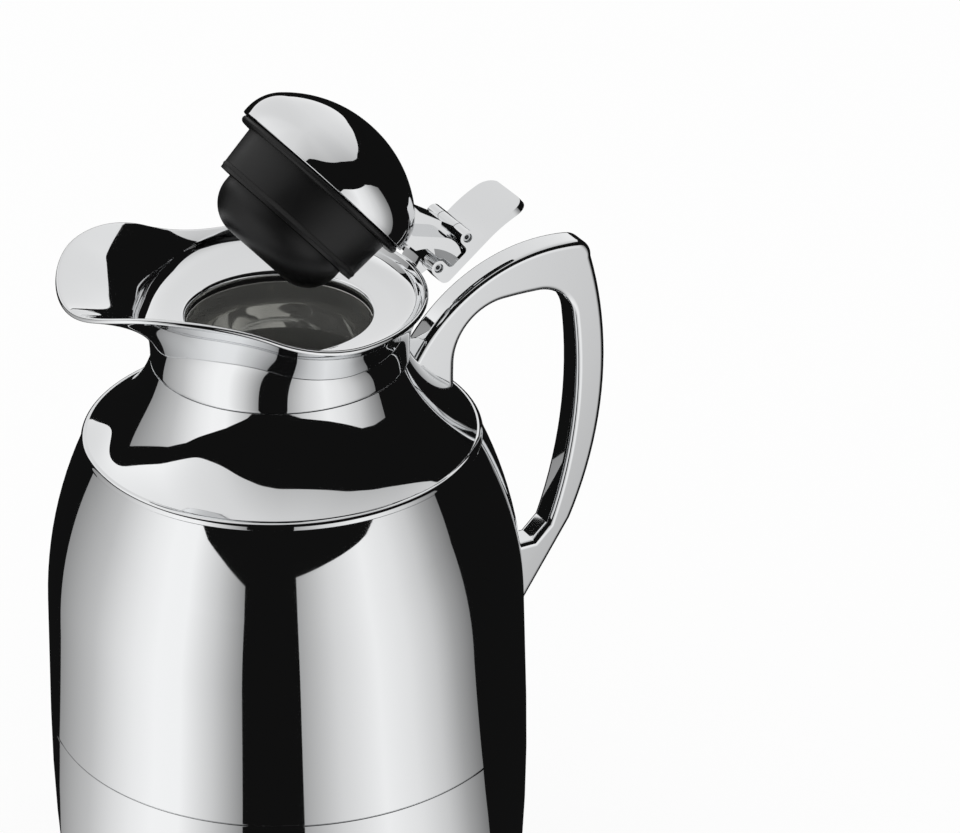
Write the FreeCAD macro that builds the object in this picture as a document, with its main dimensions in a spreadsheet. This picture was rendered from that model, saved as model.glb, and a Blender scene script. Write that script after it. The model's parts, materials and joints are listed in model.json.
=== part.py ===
import FreeCAD, Part
import math
import os
import Sketcher
from types import SimpleNamespace
from FreeCAD import Placement, Rotation, Vector

# A thermal carafe: chromed shells round a double-walled glass flask, a collar with a wide
# spout, a bar handle and a domed lid that a thumb lever lifts.
# Millimetres, +Z up, origin at the middle of the foot ring's underside, on the body's axis.
# +X points to the handle and -X to the spout. The lid is modelled closed, in its own frame,
# and the lid and lever are then turned about the lower hinge pin to the open rest position.

# Driving dimensions. Angles are in degrees, everything else is in millimetres.
SIZES = {
    # Foot and lower shell
    "foot_height": 2.5,
    "foot_width": 7.0,
    "foot_inset": 3.4,
    "base_radius": 70.4,
    "base_edge_round": 3.0,
    "lower_curve_radius": 614.0,
    "crease_height": 96.0,
    "crease_radius": 75.0,
    "shell_wall": 1.2,
    "base_opening_inset": 12.4,
    # Jacket
    "waist_rise": 40.0,
    "waist_inset": 1.05,
    "ridge_rise": 94.0,
    "ridge_inset": 14.27,
    "jacket_flange": 5.0,
    # Band inside the joint of the two shells
    "band_height": 16.0,
    "band_wall": 1.2,
    "band_gap": 0.4,
    # Shoulder
    "ridge_overhang": 0.6,
    "ridge_land": 0.5,
    "ridge_round_rise": 1.6,
    "ridge_round_inset": 1.8,
    "shoulder_rise": 26.7,
    "shoulder_curve_radius": 42.4,
    # Mouth and neck, from the mouth outwards
    "mouth_radius": 28.0,
    "glass_wall": 1.8,
    "neck_vacuum": 2.9,
    "neck_clearance": 0.2,
    "sleeve_wall": 2.4,
    "sleeve_fit": 0.1,
    "sleeve_drop": 7.0,
    "collar_wall": 2.0,
    "gasket_thickness": 1.5,
    "gasket_inset": 0.3,
    # Pouring collar
    "ledge_rise": 14.4,
    "ledge_thickness": 1.8,
    "ledge_slope": 1.4,
    "ledge_round": 0.8,
    "bowl_inset": 1.2,
    "rim_rise": 21.5,
    "rim_flare_back": 5.1,
    "rim_flare_side": 9.3,
    "rim_wall": 1.6,
    "spout_rise": 36.3,
    "spout_reach": 29.6,
    "spout_foot": 6.0,
    "spout_run": 59.0,
    "lip_rise": 30.0,
    # Flask
    "flask_radius": 58.6,
    "flask_lift": 26.0,
    "vacuum_gap": 5.0,
    "flask_shoulder_rise": 58.7,
    "flask_neck_length": 24.3,
    "flask_tip_radius": 2.5,
    "flask_tip_length": 5.0,
    "spacer_radius": 4.0,
    "spacer_gap": 0.2,
    "spacer_angle": 40.0,
    # Bottom closure
    "ring_height": 10.3,
    "ring_width": 9.0,
    "ring_overhang": 1.0,
    "cap_fit": 0.2,
    "cap_lift": 1.2,
    "cap_floor": 3.0,
    "cap_skirt": 3.0,
    "pedestal_radius": 28.0,
    "pedestal_height": 15.8,
    "pedestal_wall": 3.0,
    "cap_grip": 5.0,
    "cushion_radius": 26.0,
    "cushion_hole": 4.0,
    "cushion_gap": 0.3,
    # Handle
    "handle_width": 10.0,
    "handle_edge": 1.2,
    "handle_root_out": 4.3,
    "handle_root_drop": 10.4,
    "handle_bow_in": 13.0,
    "handle_bow_rise": 8.5,
    "handle_crown_out": 21.0,
    "handle_crown_rise": 17.4,
    "handle_corner_out": 26.0,
    "handle_corner_drop": 0.5,
    "handle_back_out": 31.0,
    "handle_back_rise": 10.8,
    "handle_grip_out": 36.3,
    "handle_grip_share": 0.568,
    "handle_tail_out": 24.4,
    "handle_tail_rise": 40.0,
    "handle_toe_rise": 3.0,
    "handle_sink": 8.0,
    "handle_throat_in": 17.5,
    "handle_throat_drop": 14.7,
    "handle_arm_rise": 2.8,
    "handle_palm_out": 12.0,
    "handle_grip_depth": 10.6,
    "handle_palm_drop": 11.5,
    "handle_tail_depth": 8.4,
    "handle_heel_out": 11.0,
    "handle_heel_rise": 35.3,
    # Handle fixings
    "screw_radius": 2.0,
    "screw_fit": 0.1,
    "screw_head_radius": 3.5,
    "screw_head_height": 2.2,
    "screw_bite": 8.0,
    "washer_radius": 4.5,
    "washer_thickness": 1.0,
    "washer_gap": 0.25,
    "lower_screw_rise": 18.5,
    "upper_screw_angle": 41.2,
    # Hinge
    "pin_radius": 1.5,
    "pin_standoff": 4.2,
    "pin_rise": 0.9,
    "pin_spacing": 12.7,
    "eye_wall": 0.95,
    "running_fit": 0.05,
    "fixed_fit": 0.02,
    "lever_width": 22.2,
    "cheek_width": 6.0,
    "hinge_gap": 0.25,
    "lug_root": 8.0,
    "lever_lean": -9.5,
    "lever_swing": 61.0,
    "web_face": 3.2,
    "web_thickness": 3.0,
    "web_start": 0.5,
    "notch_round": 1.5,
    "plate_thickness": 2.4,
    "plate_start": 17.0,
    "plate_length": 33.0,
    "plate_sweep": 2.9,
    "plate_corner": 5.0,
    "tail_gap": 0.3,
    "tail_rise": 8.0,
    "tail_thickness": 1.6,
    "open_angle": 48.8,
    # Lid, in its closed frame
    "flange_overlap": 2.2,
    "flange_thickness": 3.0,
    "seat_gap": 0.3,
    "dome_step": 0.9,
    "dome_wall": 1.3,
    "dome_band": 6.9,
    "crown_rise": 15.2,
    "spigot_height": 1.2,
    "spigot_wall": 2.0,
    "spigot_fit": 0.2,
    "plug_gap": 1.6,
    "plug_taper": 1.0,
    "plug_length": 13.6,
    "plug_wall": 4.0,
    "plug_roof": 2.5,
    "seal_height": 1.4,
    "seal_depth": 1.2,
    "seal_lip": 0.2,
    "seal_rise": 1.0,
    "cup_radius": 21.7,
    "cup_length": 12.6,
    "cup_round": 11.0,
    "cup_wall": 2.0,
    "cup_spigot": 5.0,
    "cup_fit": 0.2,
    "core_radius": 26.0,
    "core_plate": 3.0,
    "boss_radius": 7.0,
    "boss_gap": 0.8,
    "stopper_screw_bite": 10.0,
    "arm_width": 20.6,
    "arm_root_rise": 1.7,
    "arm_depth": 4.4,
    "arm_knee_out": 10.7,
    "arm_knee_rise": 8.6,
    "arm_crest_in": 6.3,
    "arm_crest_drop": 4.8,
    "arm_clearance": 1.2,
    "rib_rise": 13.0,
    "arm_screw_radius": 1.0,
    "arm_screw_head": 1.8,
    "arm_screw_cap": 1.0,
    "arm_screw_bite": 4.0,
    "arm_screw_spread": 6.0,
    "arm_screw_seat": 0.6,
}

# How fast the collar's wall flares with height, and how full the spout is in plan.
FLARE_POWER = 2.4
SPOUT_POWER = 3.0
SPOUT_FULLNESS = 2.05
FLARE_LIMIT = 1.25
COLLAR_SECTIONS = 9
COLLAR_SECTION_POINTS = 48

doc = FreeCAD.newDocument("thermal_carafe")
sheet = doc.addObject("Spreadsheet::Sheet", "sizes")
for row, (name, value) in enumerate(SIZES.items(), start=1):
    sheet.set(f"A{row}", name)
    sheet.set(f"B{row}", str(value))
    sheet.setAlias(f"B{row}", name)
doc.recompute()


class Length:
    """A length with its value and the sheet formula that gives it."""

    def __init__(self, value, formula):
        self.value = value
        self.formula = formula

    def joined(self, sign, other, value):
        return Length(value, f"({self.formula} {sign} {as_length(other).formula})")

    def __add__(self, other):
        return self.joined("+", other, self.value + as_length(other).value)

    def __sub__(self, other):
        return self.joined("-", other, self.value - as_length(other).value)

    def __mul__(self, other):
        return self.joined("*", other, self.value * as_length(other).value)

    def __truediv__(self, other):
        return self.joined("/", other, self.value / as_length(other).value)

    def __neg__(self):
        return Length(-self.value, f"(0 - {self.formula})")


def as_length(number):
    return number if isinstance(number, Length) else Length(float(number), repr(float(number)))


def root(square):
    return Length(math.sqrt(square.value), f"sqrt({square.formula})")


def cosine(angle):
    return Length(math.cos(math.radians(angle.value)), f"cos({angle.formula} * 1 deg)")


def sine(angle):
    return Length(math.sin(math.radians(angle.value)), f"sin({angle.formula} * 1 deg)")


s = SimpleNamespace(**{name: Length(value, f"sizes.{name}") for name, value in SIZES.items()})


# Outlines

def line_to(x, z):
    return SimpleNamespace(kind="line", x=x, z=z)


def tangent_to(x, z):
    """An arc that leaves the segment before it without a corner."""
    return SimpleNamespace(kind="tangent", x=x, z=z)


def radius_to(x, z, radius, side):
    """An arc of a set radius, its centre on the left (1) or right (-1) of the way there."""
    return SimpleNamespace(kind="radius", x=x, z=z, radius=radius, side=side)


def through_to(via_x, via_z, x, z):
    """An arc through a point on the way."""
    return SimpleNamespace(kind="through", via_x=via_x, via_z=via_z, x=x, z=z)


def axial_to(x, z):
    """An arc whose centre is on the axis, as on a dome."""
    return SimpleNamespace(kind="axial", x=x, z=z)


def flat(x, z):
    return Vector(as_length(x).value, as_length(z).value, 0)


def arc_centre(segment, start, end, heading):
    """The centre of a segment's arc, and whether the arc runs anticlockwise."""
    chord = end - start
    left = Vector(-chord.y, chord.x, 0)
    if segment.kind == "tangent":
        normal = Vector(-heading.y, heading.x, 0)
        reach = chord.dot(chord) / (2 * chord.dot(normal))
        return start + normal * reach, reach > 0
    if segment.kind == "radius":
        rise = math.sqrt(segment.radius.value ** 2 - chord.dot(chord) / 4)
        centre = (start + end) * 0.5 + left * (segment.side * rise / chord.Length)
        return centre, segment.side > 0
    if segment.kind == "axial":
        height = (end.dot(end) - start.dot(start)) / (2 * chord.y)
        centre = Vector(0, height, 0)
        return centre, (start - centre).cross(end - centre).z > 0
    via = flat(segment.via_x, segment.via_z)
    circle = Part.Circle(start, via, end)
    return circle.Center, (via - start).cross(end - via).z > 0


def pin_point(sketch, geometry, position, x, z):
    """Tie a point of a sketch to its two coordinates."""
    for kind, axis, coordinate in (("DistanceX", -2, x), ("DistanceY", -1, z)):
        coordinate = as_length(coordinate)
        if coordinate.value == 0:
            sketch.addConstraint(Sketcher.Constraint("PointOnObject", geometry, position, axis))
            continue
        index = sketch.addConstraint(
            Sketcher.Constraint(kind, -1, 1, geometry, position, coordinate.value))
        sketch.setExpression(f"Constraints[{index}]", coordinate.formula)


def draw(sketch, start, segments):
    """Draw a closed outline from its first corner and the segments that follow it."""
    here = flat(*start)
    heading = Vector(1, 0, 0)
    placed = []
    for segment in list(segments) + [line_to(*start)]:
        there = flat(segment.x, segment.z)
        if segment.kind == "line":
            geometry = sketch.addGeometry(Part.LineSegment(here, there))
            placed.append(SimpleNamespace(segment=segment, index=geometry, begin=1, end=2))
            heading = (there - here).normalize()
        else:
            centre, leftward = arc_centre(segment, here, there, heading)
            first, last = (here, there) if leftward else (there, here)
            angles = [math.atan2(point.y - centre.y, point.x - centre.x) for point in (first, last)]
            if angles[1] <= angles[0]:
                angles[1] += 2 * math.pi
            circle = Part.Circle(centre, Vector(0, 0, 1), (here - centre).Length)
            geometry = sketch.addGeometry(Part.ArcOfCircle(circle, *angles))
            begin, end = (1, 2) if leftward else (2, 1)
            placed.append(SimpleNamespace(segment=segment, index=geometry, begin=begin, end=end))
            outward = there - centre
            turn = Vector(-outward.y, outward.x, 0) if leftward else Vector(outward.y, -outward.x, 0)
            heading = turn.normalize()
        here = there
    for before, after in zip([placed[-1]] + placed[:-1], placed):
        kind = "Tangent" if after.segment.kind == "tangent" else "Coincident"
        sketch.addConstraint(
            Sketcher.Constraint(kind, before.index, before.end, after.index, after.begin))
    for item in placed:
        pin_point(sketch, item.index, item.end, item.segment.x, item.segment.z)
        if item.segment.kind == "radius":
            radius = item.segment.radius
            index = sketch.addConstraint(Sketcher.Constraint("Radius", item.index, radius.value))
            sketch.setExpression(f"Constraints[{index}]", radius.formula)
        if item.segment.kind == "axial":
            sketch.addConstraint(Sketcher.Constraint("PointOnObject", item.index, 3, -2))
        if item.segment.kind == "through":
            mark = sketch.addGeometry(Part.Point(flat(item.segment.via_x, item.segment.via_z)), True)
            pin_point(sketch, mark, 1, item.segment.via_x, item.segment.via_z)
            sketch.addConstraint(Sketcher.Constraint("PointOnObject", mark, 1, item.index))


def box_outline(x_low, z_low, x_high, z_high):
    """The start and segments of an upright rectangle."""
    segments = [line_to(x_high, z_low), line_to(x_high, z_high), line_to(x_low, z_high)]
    return (x_low, z_low), segments


# Features

def new_body(label):
    body = doc.addObject("PartDesign::Body", label)
    body.Label = label
    return body


def upright_sketch(body, name):
    """An empty sketch on the body's XZ plane, x to +X and y to +Z."""
    sketch = body.newObject("Sketcher::SketchObject", name)
    plane = next(item for item in body.Origin.OriginFeatures if item.Role == "XZ_Plane")
    sketch.AttachmentSupport = [(plane, "")]
    sketch.MapMode = "FlatFace"
    return sketch


def spin(body, name, start, segments, cut=False):
    """Turn an outline about the axis, to add material or to hollow the body out."""
    sketch = upright_sketch(body, f"{name}_outline")
    draw(sketch, start, segments)
    feature = body.newObject("PartDesign::Groove" if cut else "PartDesign::Revolution", name)
    feature.Profile = sketch
    feature.ReferenceAxis = (sketch, ["V_Axis"])
    feature.Angle = 360
    return feature


def across(body, name, width, start, segments, cut=False):
    """Extend an outline to both sides of the middle plane, to add or to cut."""
    sketch = upright_sketch(body, f"{name}_outline")
    draw(sketch, start, segments)
    return extend(body, name, sketch, width, cut)


def bore_across(body, name, width, x, z, radius):
    """Bore a round hole from side to side."""
    sketch = upright_sketch(body, f"{name}_outline")
    circle = Part.Circle(flat(x, z), Vector(0, 0, 1), radius.value)
    geometry = sketch.addGeometry(circle)
    pin_point(sketch, geometry, 3, x, z)
    index = sketch.addConstraint(Sketcher.Constraint("Radius", geometry, radius.value))
    sketch.setExpression(f"Constraints[{index}]", radius.formula)
    return extend(body, name, sketch, width, True)


def extend(body, name, sketch, width, cut):
    feature = body.newObject("PartDesign::Pocket" if cut else "PartDesign::Pad", name)
    feature.Profile = sketch
    feature.SideType = "Symmetric"
    feature.setExpression("Length", width.formula)
    return feature


def bind_place(item, x, z, angle=None, y=None):
    """Put a piece at a point, turned about +Y."""
    spot = Vector(as_length(x).value, 0 if y is None else y.value, as_length(z).value)
    item.Placement = Placement(spot, Rotation(Vector(0, 1, 0), 0 if angle is None else angle.value))
    item.setExpression("Placement.Base.x", as_length(x).formula)
    item.setExpression("Placement.Base.z", as_length(z).formula)
    if y is not None:
        item.setExpression("Placement.Base.y", y.formula)
    if angle is not None:
        item.setExpression("Placement.Rotation.Angle", angle.formula)


def rod(label, radius, length, x, z, angle, y=None):
    """A round bar from a point, its direction turned from +Z towards +X by the angle."""
    item = doc.addObject("Part::Cylinder", label)
    item.setExpression("Radius", radius.formula)
    item.setExpression("Height", length.formula)
    bind_place(item, x, z, angle, y)
    return item


def less(label, base, *tools):
    """A piece with other shapes taken away from it."""
    for number, tool in enumerate(tools):
        step = doc.addObject("Part::Cut", f"{label}_less_{number}")
        step.Base = base
        step.Tool = tool
        base = step
    base.Label = label
    return base


def group(label, items):
    """Like pieces in one node."""
    compound = doc.addObject("Part::Compound", f"{label}_group")
    compound.Links = items
    compound.Label = label
    return compound


# Heights and radii that several pieces share
base_edge_height = s.foot_height + s.base_edge_round
waist_height = s.crease_height + s.waist_rise
waist_radius = s.crease_radius - s.waist_inset
ridge_height = s.crease_height + s.ridge_rise
ridge_radius = s.crease_radius - s.ridge_inset
seam_height = ridge_height + s.shoulder_rise
flask_neck_radius = s.mouth_radius + s.glass_wall * 2 + s.neck_vacuum
sleeve_bore = flask_neck_radius + s.neck_clearance
sleeve_radius = sleeve_bore + s.sleeve_wall
collar_bore = sleeve_radius + s.sleeve_fit
neck_radius = collar_bore + s.collar_wall
ledge_height = seam_height + s.ledge_rise
ledge_underside = ledge_height - s.ledge_thickness
lip_height = ledge_underside - s.gasket_thickness
eye_radius = s.pin_radius + s.eye_wall
barrel_width = s.lever_width - s.cheek_width * 2 - s.hinge_gap * 2
pin_x = neck_radius + s.rim_flare_back + s.pin_standoff
pin_height = seam_height + s.rim_rise + s.pin_rise

# The lid's closed frame has its origin on the axis, halfway up the stopper's flange.
flange_radius = s.mouth_radius + s.flange_overlap
bowl_radius = neck_radius - s.bowl_inset
ledge_steepness = s.ledge_slope / (bowl_radius - s.mouth_radius)
half_flange = s.flange_thickness / 2
lid_height = ledge_height + ledge_steepness * s.flange_overlap + s.seat_gap + half_flange
pin_above_lid = pin_height - lid_height


lever_turn = s.lever_lean + s.lever_swing
barrel_x = pin_x + s.pin_spacing * sine(s.lever_lean)
barrel_z = pin_above_lid + s.pin_spacing * cosine(s.lever_lean)


def lever_turned(out, up):
    """A point of the lever's own frame at the open rest position."""
    x = pin_x + out * cosine(lever_turn) + up * sine(lever_turn)
    z = pin_height + up * cosine(lever_turn) - out * sine(lever_turn)
    return x, z


def lid_turned(x, z):
    """A point of the closed lid's frame at the open rest position: its barrel is on the upper pin."""
    held_x, held_z = lever_turned(as_length(0), s.pin_spacing)
    out = x - barrel_x
    up = z - barrel_z
    turned_x = held_x + out * cosine(s.open_angle) + up * sine(s.open_angle)
    turned_z = held_z + up * cosine(s.open_angle) - out * sine(s.open_angle)
    return turned_x, turned_z


def place_on_lid(item):
    x, z = lid_turned(as_length(0), as_length(0))
    bind_place(item, x, z, s.open_angle)


# Foot ring
def make_foot_ring():
    body = new_body("foot_ring")
    outer = s.base_radius - s.foot_inset
    spin(body, "foot", *box_outline(outer - s.foot_width, 0, outer, s.foot_height))
    return body


# Lower shell, with an inward flange round the bottom opening
def lower_outline():
    segments = [
        line_to(s.base_radius - s.base_edge_round, s.foot_height),
        tangent_to(s.base_radius, base_edge_height),
        radius_to(s.crease_radius, s.crease_height, s.lower_curve_radius, 1),
        line_to(0, s.crease_height),
    ]
    return (0, s.foot_height), segments


base_opening = s.base_radius - s.base_opening_inset


def make_lower_shell():
    body = new_body("lower_shell")
    spin(body, "lower_outside", *lower_outline())
    floor = s.foot_height + s.shell_wall
    segments = [
        line_to(s.base_radius - s.base_edge_round, floor),
        tangent_to(s.base_radius - s.shell_wall, base_edge_height),
        radius_to(s.crease_radius - s.shell_wall, s.crease_height, s.lower_curve_radius, 1),
        line_to(0, s.crease_height),
    ]
    spin(body, "lower_inside", (0, floor), segments, cut=True)
    spin(body, "base_opening", *box_outline(0, s.foot_height, base_opening, floor), cut=True)
    return body


# Jacket, closed at the top by an inward flange that carries the shoulder
def jacket_outline():
    segments = [
        line_to(s.crease_radius, s.crease_height),
        line_to(waist_radius, waist_height),
        tangent_to(ridge_radius, ridge_height),
        line_to(0, ridge_height),
    ]
    return (0, s.crease_height), segments


def make_jacket_shell():
    body = new_body("jacket_shell")
    spin(body, "jacket_outside", *jacket_outline())
    roof = ridge_height - s.shell_wall
    segments = [
        line_to(s.crease_radius - s.shell_wall, s.crease_height),
        line_to(waist_radius - s.shell_wall, waist_height),
        tangent_to(ridge_radius - s.shell_wall, roof),
        line_to(0, roof),
    ]
    spin(body, "jacket_inside", (0, s.crease_height), segments, cut=True)
    opening = box_outline(0, roof, ridge_radius - s.jacket_flange, ridge_height)
    spin(body, "jacket_opening", *opening, cut=True)
    return body


# Band inside the joint at the crease
def make_joint_band():
    body = new_body("joint_band")
    outer = s.crease_radius - s.shell_wall - s.band_gap
    low = s.crease_height - s.band_height / 2
    high = low + s.band_height
    shell_lean = s.crease_radius - s.base_radius
    low_outer = outer - s.band_height / 2 * shell_lean / (s.crease_height - base_edge_height)
    segments = [
        line_to(low_outer, low),
        line_to(outer, s.crease_height),
        line_to(outer, high),
        line_to(outer - s.band_wall, high),
        line_to(outer - s.band_wall, s.crease_height),
    ]
    spin(body, "band", (low_outer - s.band_wall, low), segments)
    return body


# Shoulder, with a rounded ridge that overhangs the jacket a little
ridge_edge = ridge_radius + s.ridge_overhang
curve_foot_radius = ridge_edge - s.ridge_round_inset
curve_foot_height = ridge_height + s.ridge_land + s.ridge_round_rise


def shoulder_outline():
    segments = [
        line_to(ridge_edge, ridge_height),
        line_to(ridge_edge, ridge_height + s.ridge_land),
        tangent_to(curve_foot_radius, curve_foot_height),
        radius_to(neck_radius, seam_height, s.shoulder_curve_radius, -1),
        line_to(0, seam_height),
    ]
    return (0, ridge_height), segments


def make_shoulder_shell():
    body = new_body("shoulder_shell")
    spin(body, "shoulder_outside", *shoulder_outline())
    inner_foot = curve_foot_radius - s.shell_wall
    segments = [
        line_to(inner_foot, ridge_height),
        line_to(inner_foot, curve_foot_height - s.shell_wall),
        radius_to(neck_radius - s.shell_wall, seam_height, s.shoulder_curve_radius + s.shell_wall, -1),
        line_to(0, seam_height),
    ]
    spin(body, "shoulder_inside", (0, ridge_height), segments, cut=True)
    return body


def shoulder_lining_centre():
    """The middle of the shoulder's inside curve, which lies outside the body."""
    foot_radius = curve_foot_radius - s.shell_wall
    foot_height = curve_foot_height - s.shell_wall
    top_radius = neck_radius - s.shell_wall
    run = top_radius - foot_radius
    rise = seam_height - foot_height
    chord = root(run * run + rise * rise)
    curve = s.shoulder_curve_radius + s.shell_wall
    reach = root(curve * curve - chord * chord / 4) / chord
    x = (top_radius + foot_radius) / 2 + rise * reach
    z = (seam_height + foot_height) / 2 - run * reach
    return x, z


# Pouring collar: its sections are egg shapes that lean out towards the spout
spout_height = seam_height + s.spout_rise


def egg_radius(angle, front, side, back):
    """Radius of an egg-shaped outline at an angle from the handle."""
    along = abs(math.cos(angle))
    beside = abs(math.sin(angle))
    if math.cos(angle) < 0:
        total = (along / front) ** SPOUT_FULLNESS + (beside / side) ** SPOUT_FULLNESS
        return total ** (-1 / SPOUT_FULLNESS)
    return ((along / back) ** 2 + (beside / side) ** 2) ** -0.5


def rim_points():
    """The rim line seen from the side: foot of the S, its middle, crest and the lip's tip."""
    foot = Vector(s.spout_foot.value, 0, s.rim_rise.value)
    crest = Vector(s.spout_foot.value - s.spout_run.value, 0, s.spout_rise.value)
    tip = Vector(-neck_radius.value - s.spout_reach.value, 0, s.lip_rise.value)
    return foot, (foot + crest) * 0.5, crest, tip


def bend_radius(start, end):
    """Radius of the arc that leaves the start level and meets the end."""
    run = end - start
    return run.dot(run) / (2 * abs(run.z))


def rim_height(x):
    """Height of the rim above the neck seam at a distance along the spout."""
    foot, middle, crest, tip = rim_points()
    if x >= foot.x:
        return foot.z
    if x >= middle.x:
        bend = bend_radius(foot, middle)
        return foot.z + bend - math.sqrt(bend ** 2 - (foot.x - x) ** 2)
    if x >= crest.x:
        bend = bend_radius(crest, middle)
        return crest.z - bend + math.sqrt(bend ** 2 - (x - crest.x) ** 2)
    bend = bend_radius(crest, tip)
    return crest.z - bend + math.sqrt(bend ** 2 - (crest.x - x) ** 2)


def collar_radius(angle, rise, wall):
    """Radius of the collar's wall, less its thickness measured across the slope."""
    neck = neck_radius.value
    front = neck + s.spout_reach.value
    side = neck + s.rim_flare_side.value
    back = neck + s.rim_flare_back.value
    rim = egg_radius(angle, front, side, back)
    height = rim_height(rim * math.cos(angle))
    power = FLARE_POWER + (SPOUT_POWER - FLARE_POWER) * (1 - math.cos(angle)) / 2
    share = min(rise / height, FLARE_LIMIT)
    slope = (rim - neck) * power * share ** (power - 1) / height
    return neck + (rim - neck) * share ** power - wall * math.sqrt(1 + slope ** 2)


def collar_section(rise, wall):
    """A closed section of the collar, at a height above the neck seam."""
    points = []
    for step in range(COLLAR_SECTION_POINTS):
        angle = 2 * math.pi * step / COLLAR_SECTION_POINTS
        reach = collar_radius(angle, rise, wall)
        height = seam_height.value + rise
        points.append(Vector(reach * math.cos(angle), reach * math.sin(angle), height))
    curve = Part.BSplineCurve()
    curve.interpolate(points, PeriodicFlag=True)
    return Part.Wire(curve.toShape())


def collar_loft(label, low, high, wall):
    """A solid through the collar's sections between two heights."""
    rises = [low + (high - low) * step / (COLLAR_SECTIONS - 1) for step in range(COLLAR_SECTIONS)]
    feature = doc.addObject("Part::Feature", label)
    feature.Shape = Part.makeLoft([collar_section(rise, wall) for rise in rises], True, False)
    return feature


def rim_cutter(top):
    """All that lies above the rim line, which climbs to a crest in an S and droops to the lip."""
    up = Vector(0, 0, seam_height.value)
    foot, middle, crest, tip = rim_points()
    far = neck_radius.value + s.spout_reach.value * 2
    edges = []
    for start, end in ((foot, middle), (middle, crest), (crest, tip)):
        x = (start.x + end.x) / 2
        edges.append(Part.Arc(start + up, Vector(x, 0, rim_height(x)) + up, end + up).toShape())
    corners = [tip + up, Vector(-far, 0, tip.z) + up, Vector(-far, 0, top), Vector(far, 0, top),
               Vector(far, 0, foot.z) + up, foot + up]
    edges += [Part.makeLine(first, second) for first, second in zip(corners, corners[1:])]
    face = Part.Face(Part.Wire(edges))
    feature = doc.addObject("Part::Feature", "rim_cutter")
    feature.Shape = face.extrude(Vector(0, 2 * far, 0))
    feature.Placement = Placement(Vector(0, -far, 0), Rotation())
    return feature


def make_mouth_cutter():
    """The mouth with its rounded edge, and the ledge that slopes down to it."""
    body = new_body("mouth_cutter")
    round_height = ledge_height + ledge_steepness * s.ledge_round
    segments = [
        line_to(s.mouth_radius, ledge_underside),
        line_to(s.mouth_radius, ledge_height - s.ledge_round),
        tangent_to(s.mouth_radius + s.ledge_round, round_height),
        line_to(bowl_radius, ledge_height + s.ledge_slope),
        line_to(0, ledge_height + s.ledge_slope),
    ]
    spin(body, "mouth", (0, ledge_underside), segments)
    return body


def make_collar_cavity():
    body = new_body("collar_cavity")
    spin(body, "cavity", *box_outline(0, seam_height, collar_bore, ledge_underside))
    return body


def make_collar():
    top = s.spout_rise.value + s.collar_wall.value
    bowl_floor = s.ledge_rise.value + s.ledge_slope.value
    filled = collar_loft("collar_form", 0.0, top, 0.0)
    bowl = collar_loft("bowl_form", bowl_floor, top, s.rim_wall.value)
    cutter = rim_cutter(seam_height.value + 2 * top)
    collar = less("pouring_collar", filled, bowl, cutter, make_mouth_cutter(), make_collar_cavity())
    return collar, filled


# Neck sleeve and gasket
def make_neck_sleeve():
    body = new_body("neck_sleeve")
    low = seam_height - s.sleeve_drop
    spin(body, "sleeve", *box_outline(sleeve_bore, low, sleeve_radius, ledge_underside))
    return body


def make_neck_gasket():
    body = new_body("neck_gasket")
    inner = s.mouth_radius + s.gasket_inset
    spin(body, "gasket", *box_outline(inner, lip_height, flask_neck_radius, ledge_underside))
    return body


# Glass flask: two walls that meet under the lip
flask_centre = s.flask_lift + s.flask_radius
flask_shoulder = seam_height - s.flask_shoulder_rise
flask_neck_foot = lip_height - s.glass_wall - s.flask_neck_length
lip_underside = lip_height - s.glass_wall


def bulb(body, name, radius, neck, top, drop, cut=False, lip=None):
    """A bulb with a round bottom, a straight side, a shoulder and a neck."""
    segments = [
        axial_to(radius, flask_centre),
        line_to(radius, flask_shoulder),
        tangent_to(neck, flask_neck_foot - drop),
        line_to(neck, top),
    ]
    if lip is not None:
        segments += [line_to(lip, top), line_to(lip, lip_height)]
        top = lip_height
    segments.append(line_to(0, top))
    spin(body, name, (0, flask_centre - radius), segments, cut)


def make_outer_flask():
    body = new_body("outer_flask")
    bulb(body, "outer_glass", s.flask_radius, flask_neck_radius, lip_underside, as_length(0))
    tip = box_outline(0, s.flask_lift - s.flask_tip_length, s.flask_tip_radius, s.flask_lift + s.glass_wall)
    spin(body, "sealed_tip", *tip)
    inside = s.flask_radius - s.glass_wall
    neck = flask_neck_radius - s.glass_wall
    bulb(body, "outer_space", inside, neck, lip_underside, s.glass_wall, cut=True)
    return body


inner_flask_radius = s.flask_radius - s.glass_wall - s.vacuum_gap


def make_inner_flask():
    body = new_body("inner_flask")
    neck = s.mouth_radius + s.glass_wall
    drop = s.vacuum_gap + s.glass_wall
    bulb(body, "inner_glass", inner_flask_radius, neck, lip_underside, drop, lip=flask_neck_radius)
    inside = inner_flask_radius - s.glass_wall
    bulb(body, "inner_space", inside, s.mouth_radius, lip_height, drop + s.glass_wall, cut=True)
    return body


def make_flask_spacers():
    """Three pads in the gap between the glass walls, spread evenly round the bottom."""
    length = s.vacuum_gap - s.spacer_gap * 2
    pads = []
    for turn in range(3):
        pad = doc.addObject("Part::Cylinder", f"spacer_{turn}")
        pad.setExpression("Radius", s.spacer_radius.formula)
        pad.setExpression("Height", length.formula)
        bearing = Rotation(Vector(0, 0, 1), 120.0 * turn)
        tilt = Rotation(Vector(0, 1, 0), 90.0 + s.spacer_angle.value)
        outward = bearing.multVec(Vector(1, 0, 0))
        reach = (inner_flask_radius + s.spacer_gap) * cosine(s.spacer_angle)
        height = flask_centre - (inner_flask_radius + s.spacer_gap) * sine(s.spacer_angle)
        pad.Placement = Placement(outward * reach.value + Vector(0, 0, height.value), bearing * tilt)
        pads.append(pad)
    return group("flask_spacers", pads)


# Bottom closure and cushion
pedestal_top = s.cap_lift + s.pedestal_height


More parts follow.
